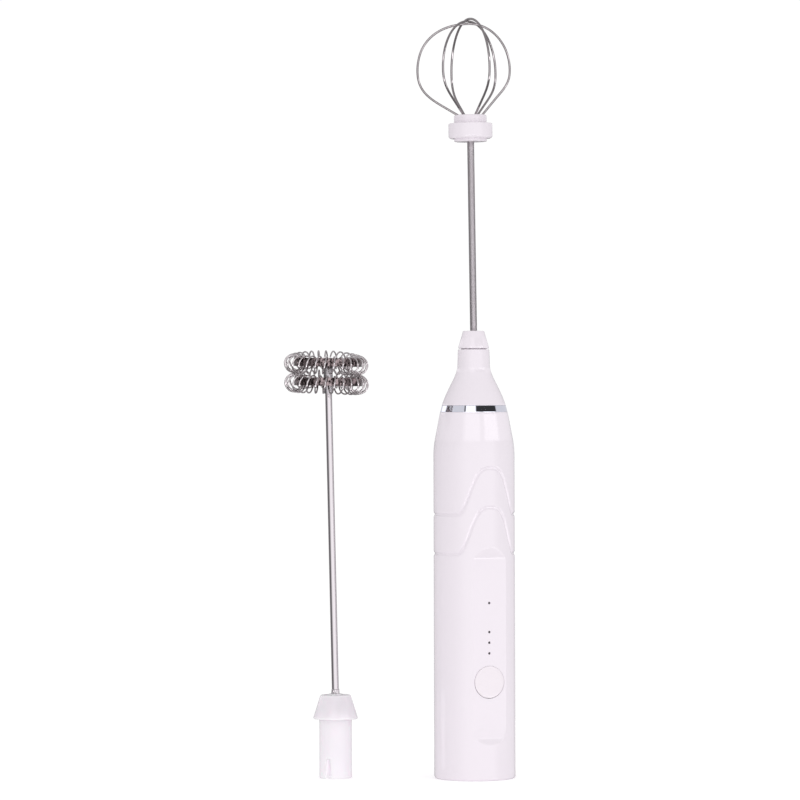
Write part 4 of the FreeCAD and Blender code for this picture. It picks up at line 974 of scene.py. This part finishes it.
def screen_ring(bands):
    """Soft screens round the room at one height. Each band is (bearing in degrees, brightness) of one edge."""
    colour = fed(room, "ValToRGB", "Color", {"Fac": around})
    stops = colour.node.color_ramp.elements
    while len(stops) < len(bands):
        stops.new(0.5)
    for stop, (degrees, bright) in zip(stops, bands):
        stop.position = (degrees + 180) / 360
        stop.color = (bright * 1.0, bright * 0.975, bright * 1.01, 1)
    return colour


def stacked(low, high, start, end):
    """Passes from one ring of screens to the next one up, at sines of the slant of the surface that shows them."""
    share = fed(room, "MapRange", "Result", {"Value": slant, "From Min": start, "From Max": end},
                interpolation_type="SMOOTHSTEP")
    return fed(room, "Mix", "Result", {"Factor": share, "A": low, "B": high}, data_type="RGBA")


def glowing(colour, strength=1.0):
    return fed(room, "Background", "Background", {"Color": colour, "Strength": strength})


def chosen(test, wanted, other):
    return fed(room, "MixShader", "Shader", {"Fac": test, 1: other, 2: wanted})


under_ring = [
    (-180, 0.5), (-36, 0.5), (-28, 3.6), (20, 3.6), (28, 0.8), (38, 0.8), (43, 3.5), (62, 3.5), (70, 0.6), (180, 0.5)]
level_ring = [
    (-180, 0.45), (-130, 0.4), (-104, 0.12), (-62, 0.2), (-44, 0.55), (-28, 1.0), (-14, 1.15), (22, 1.15), (41, 1.2),
    (55, 1.2), (62, 0.7), (74, 0.25), (100, 0.28), (117, 0.35), (136, 0.5), (180, 0.45)]
shoulder_ring = [
    (-180, 0.7), (-40, 0.7), (-26, 2.5), (16, 2.5), (21, 1.2), (30, 1.2), (36, 3.2), (76, 3.2), (86, 0.9), (180, 0.7)]
trim_ring = [
    (-180, 0.72), (-152, 0.72), (-148, 1.22), (-108, 1.22), (-104, 0.72), (-37, 0.72), (-35, 0.04), (-32, 0.04),
    (-30, 1.22), (5, 1.22), (8, 0.04), (84, 0.04), (88, 0.72), (180, 0.72)]
ground, ceiling = [(-180, 0.25), (180, 0.25)], [(-180, 0.45), (180, 0.45)]
screens = screen_ring(ground)
for bands, start, end in ((under_ring, -0.31, -0.28), (level_ring, -0.21, -0.18), (shoulder_ring, 0.155, 0.175),
                          (trim_ring, 0.21, 0.225), (ceiling, 0.29, 0.31)):
    screens = stacked(screens, screen_ring(bands), start, end)

fill_side = math.radians(15)
fill_from = Vector((math.sin(fill_side), -math.cos(fill_side), 0.2)).normalized()
facing = fed(room, "VectorMath", "Value", {0: squared, 1: fill_from}, operation="DOT_PRODUCT")
fill = ranged(room, facing, 0.69, 1.07, -1, 1)
kind = fed(room, "LightPath", "Is Camera Ray").node.outputs
seen = chosen(kind["Is Diffuse Ray"], glowing(fill), glowing(screens))
seen = chosen(kind["Is Camera Ray"], glowing((1, 1, 1, 1), 1.02), seen)
feed(room, room.nodes["World Output"], {"Surface": seen})

camera_distance, view_width, sensor_width = 1.4, 0.2765, 36
aim_left, aim_height = 25.5 * mm, 130.64 * mm
camera_roll = math.radians(-0.17)
camera_data = bpy.data.cameras.new("camera")
camera_data.sensor_width = sensor_width
camera_data.lens = sensor_width * camera_distance / view_width
camera_data.clip_start = 0.05
camera = in_scene("camera", camera_data)
upright = Matrix.Rotation(camera_turn, 4, "Z") @ Matrix.Rotation(math.pi / 2, 4, "X")
aim = camera_right * -aim_left + Vector((0, 0, aim_height))
stand = Matrix.Translation(aim + camera_back * camera_distance)
camera.matrix_world = stand @ upright @ Matrix.Rotation(camera_roll, 4, "Z")
bpy.context.scene.camera = camera
bpy.context.scene.view_settings.view_transform = "Standard"
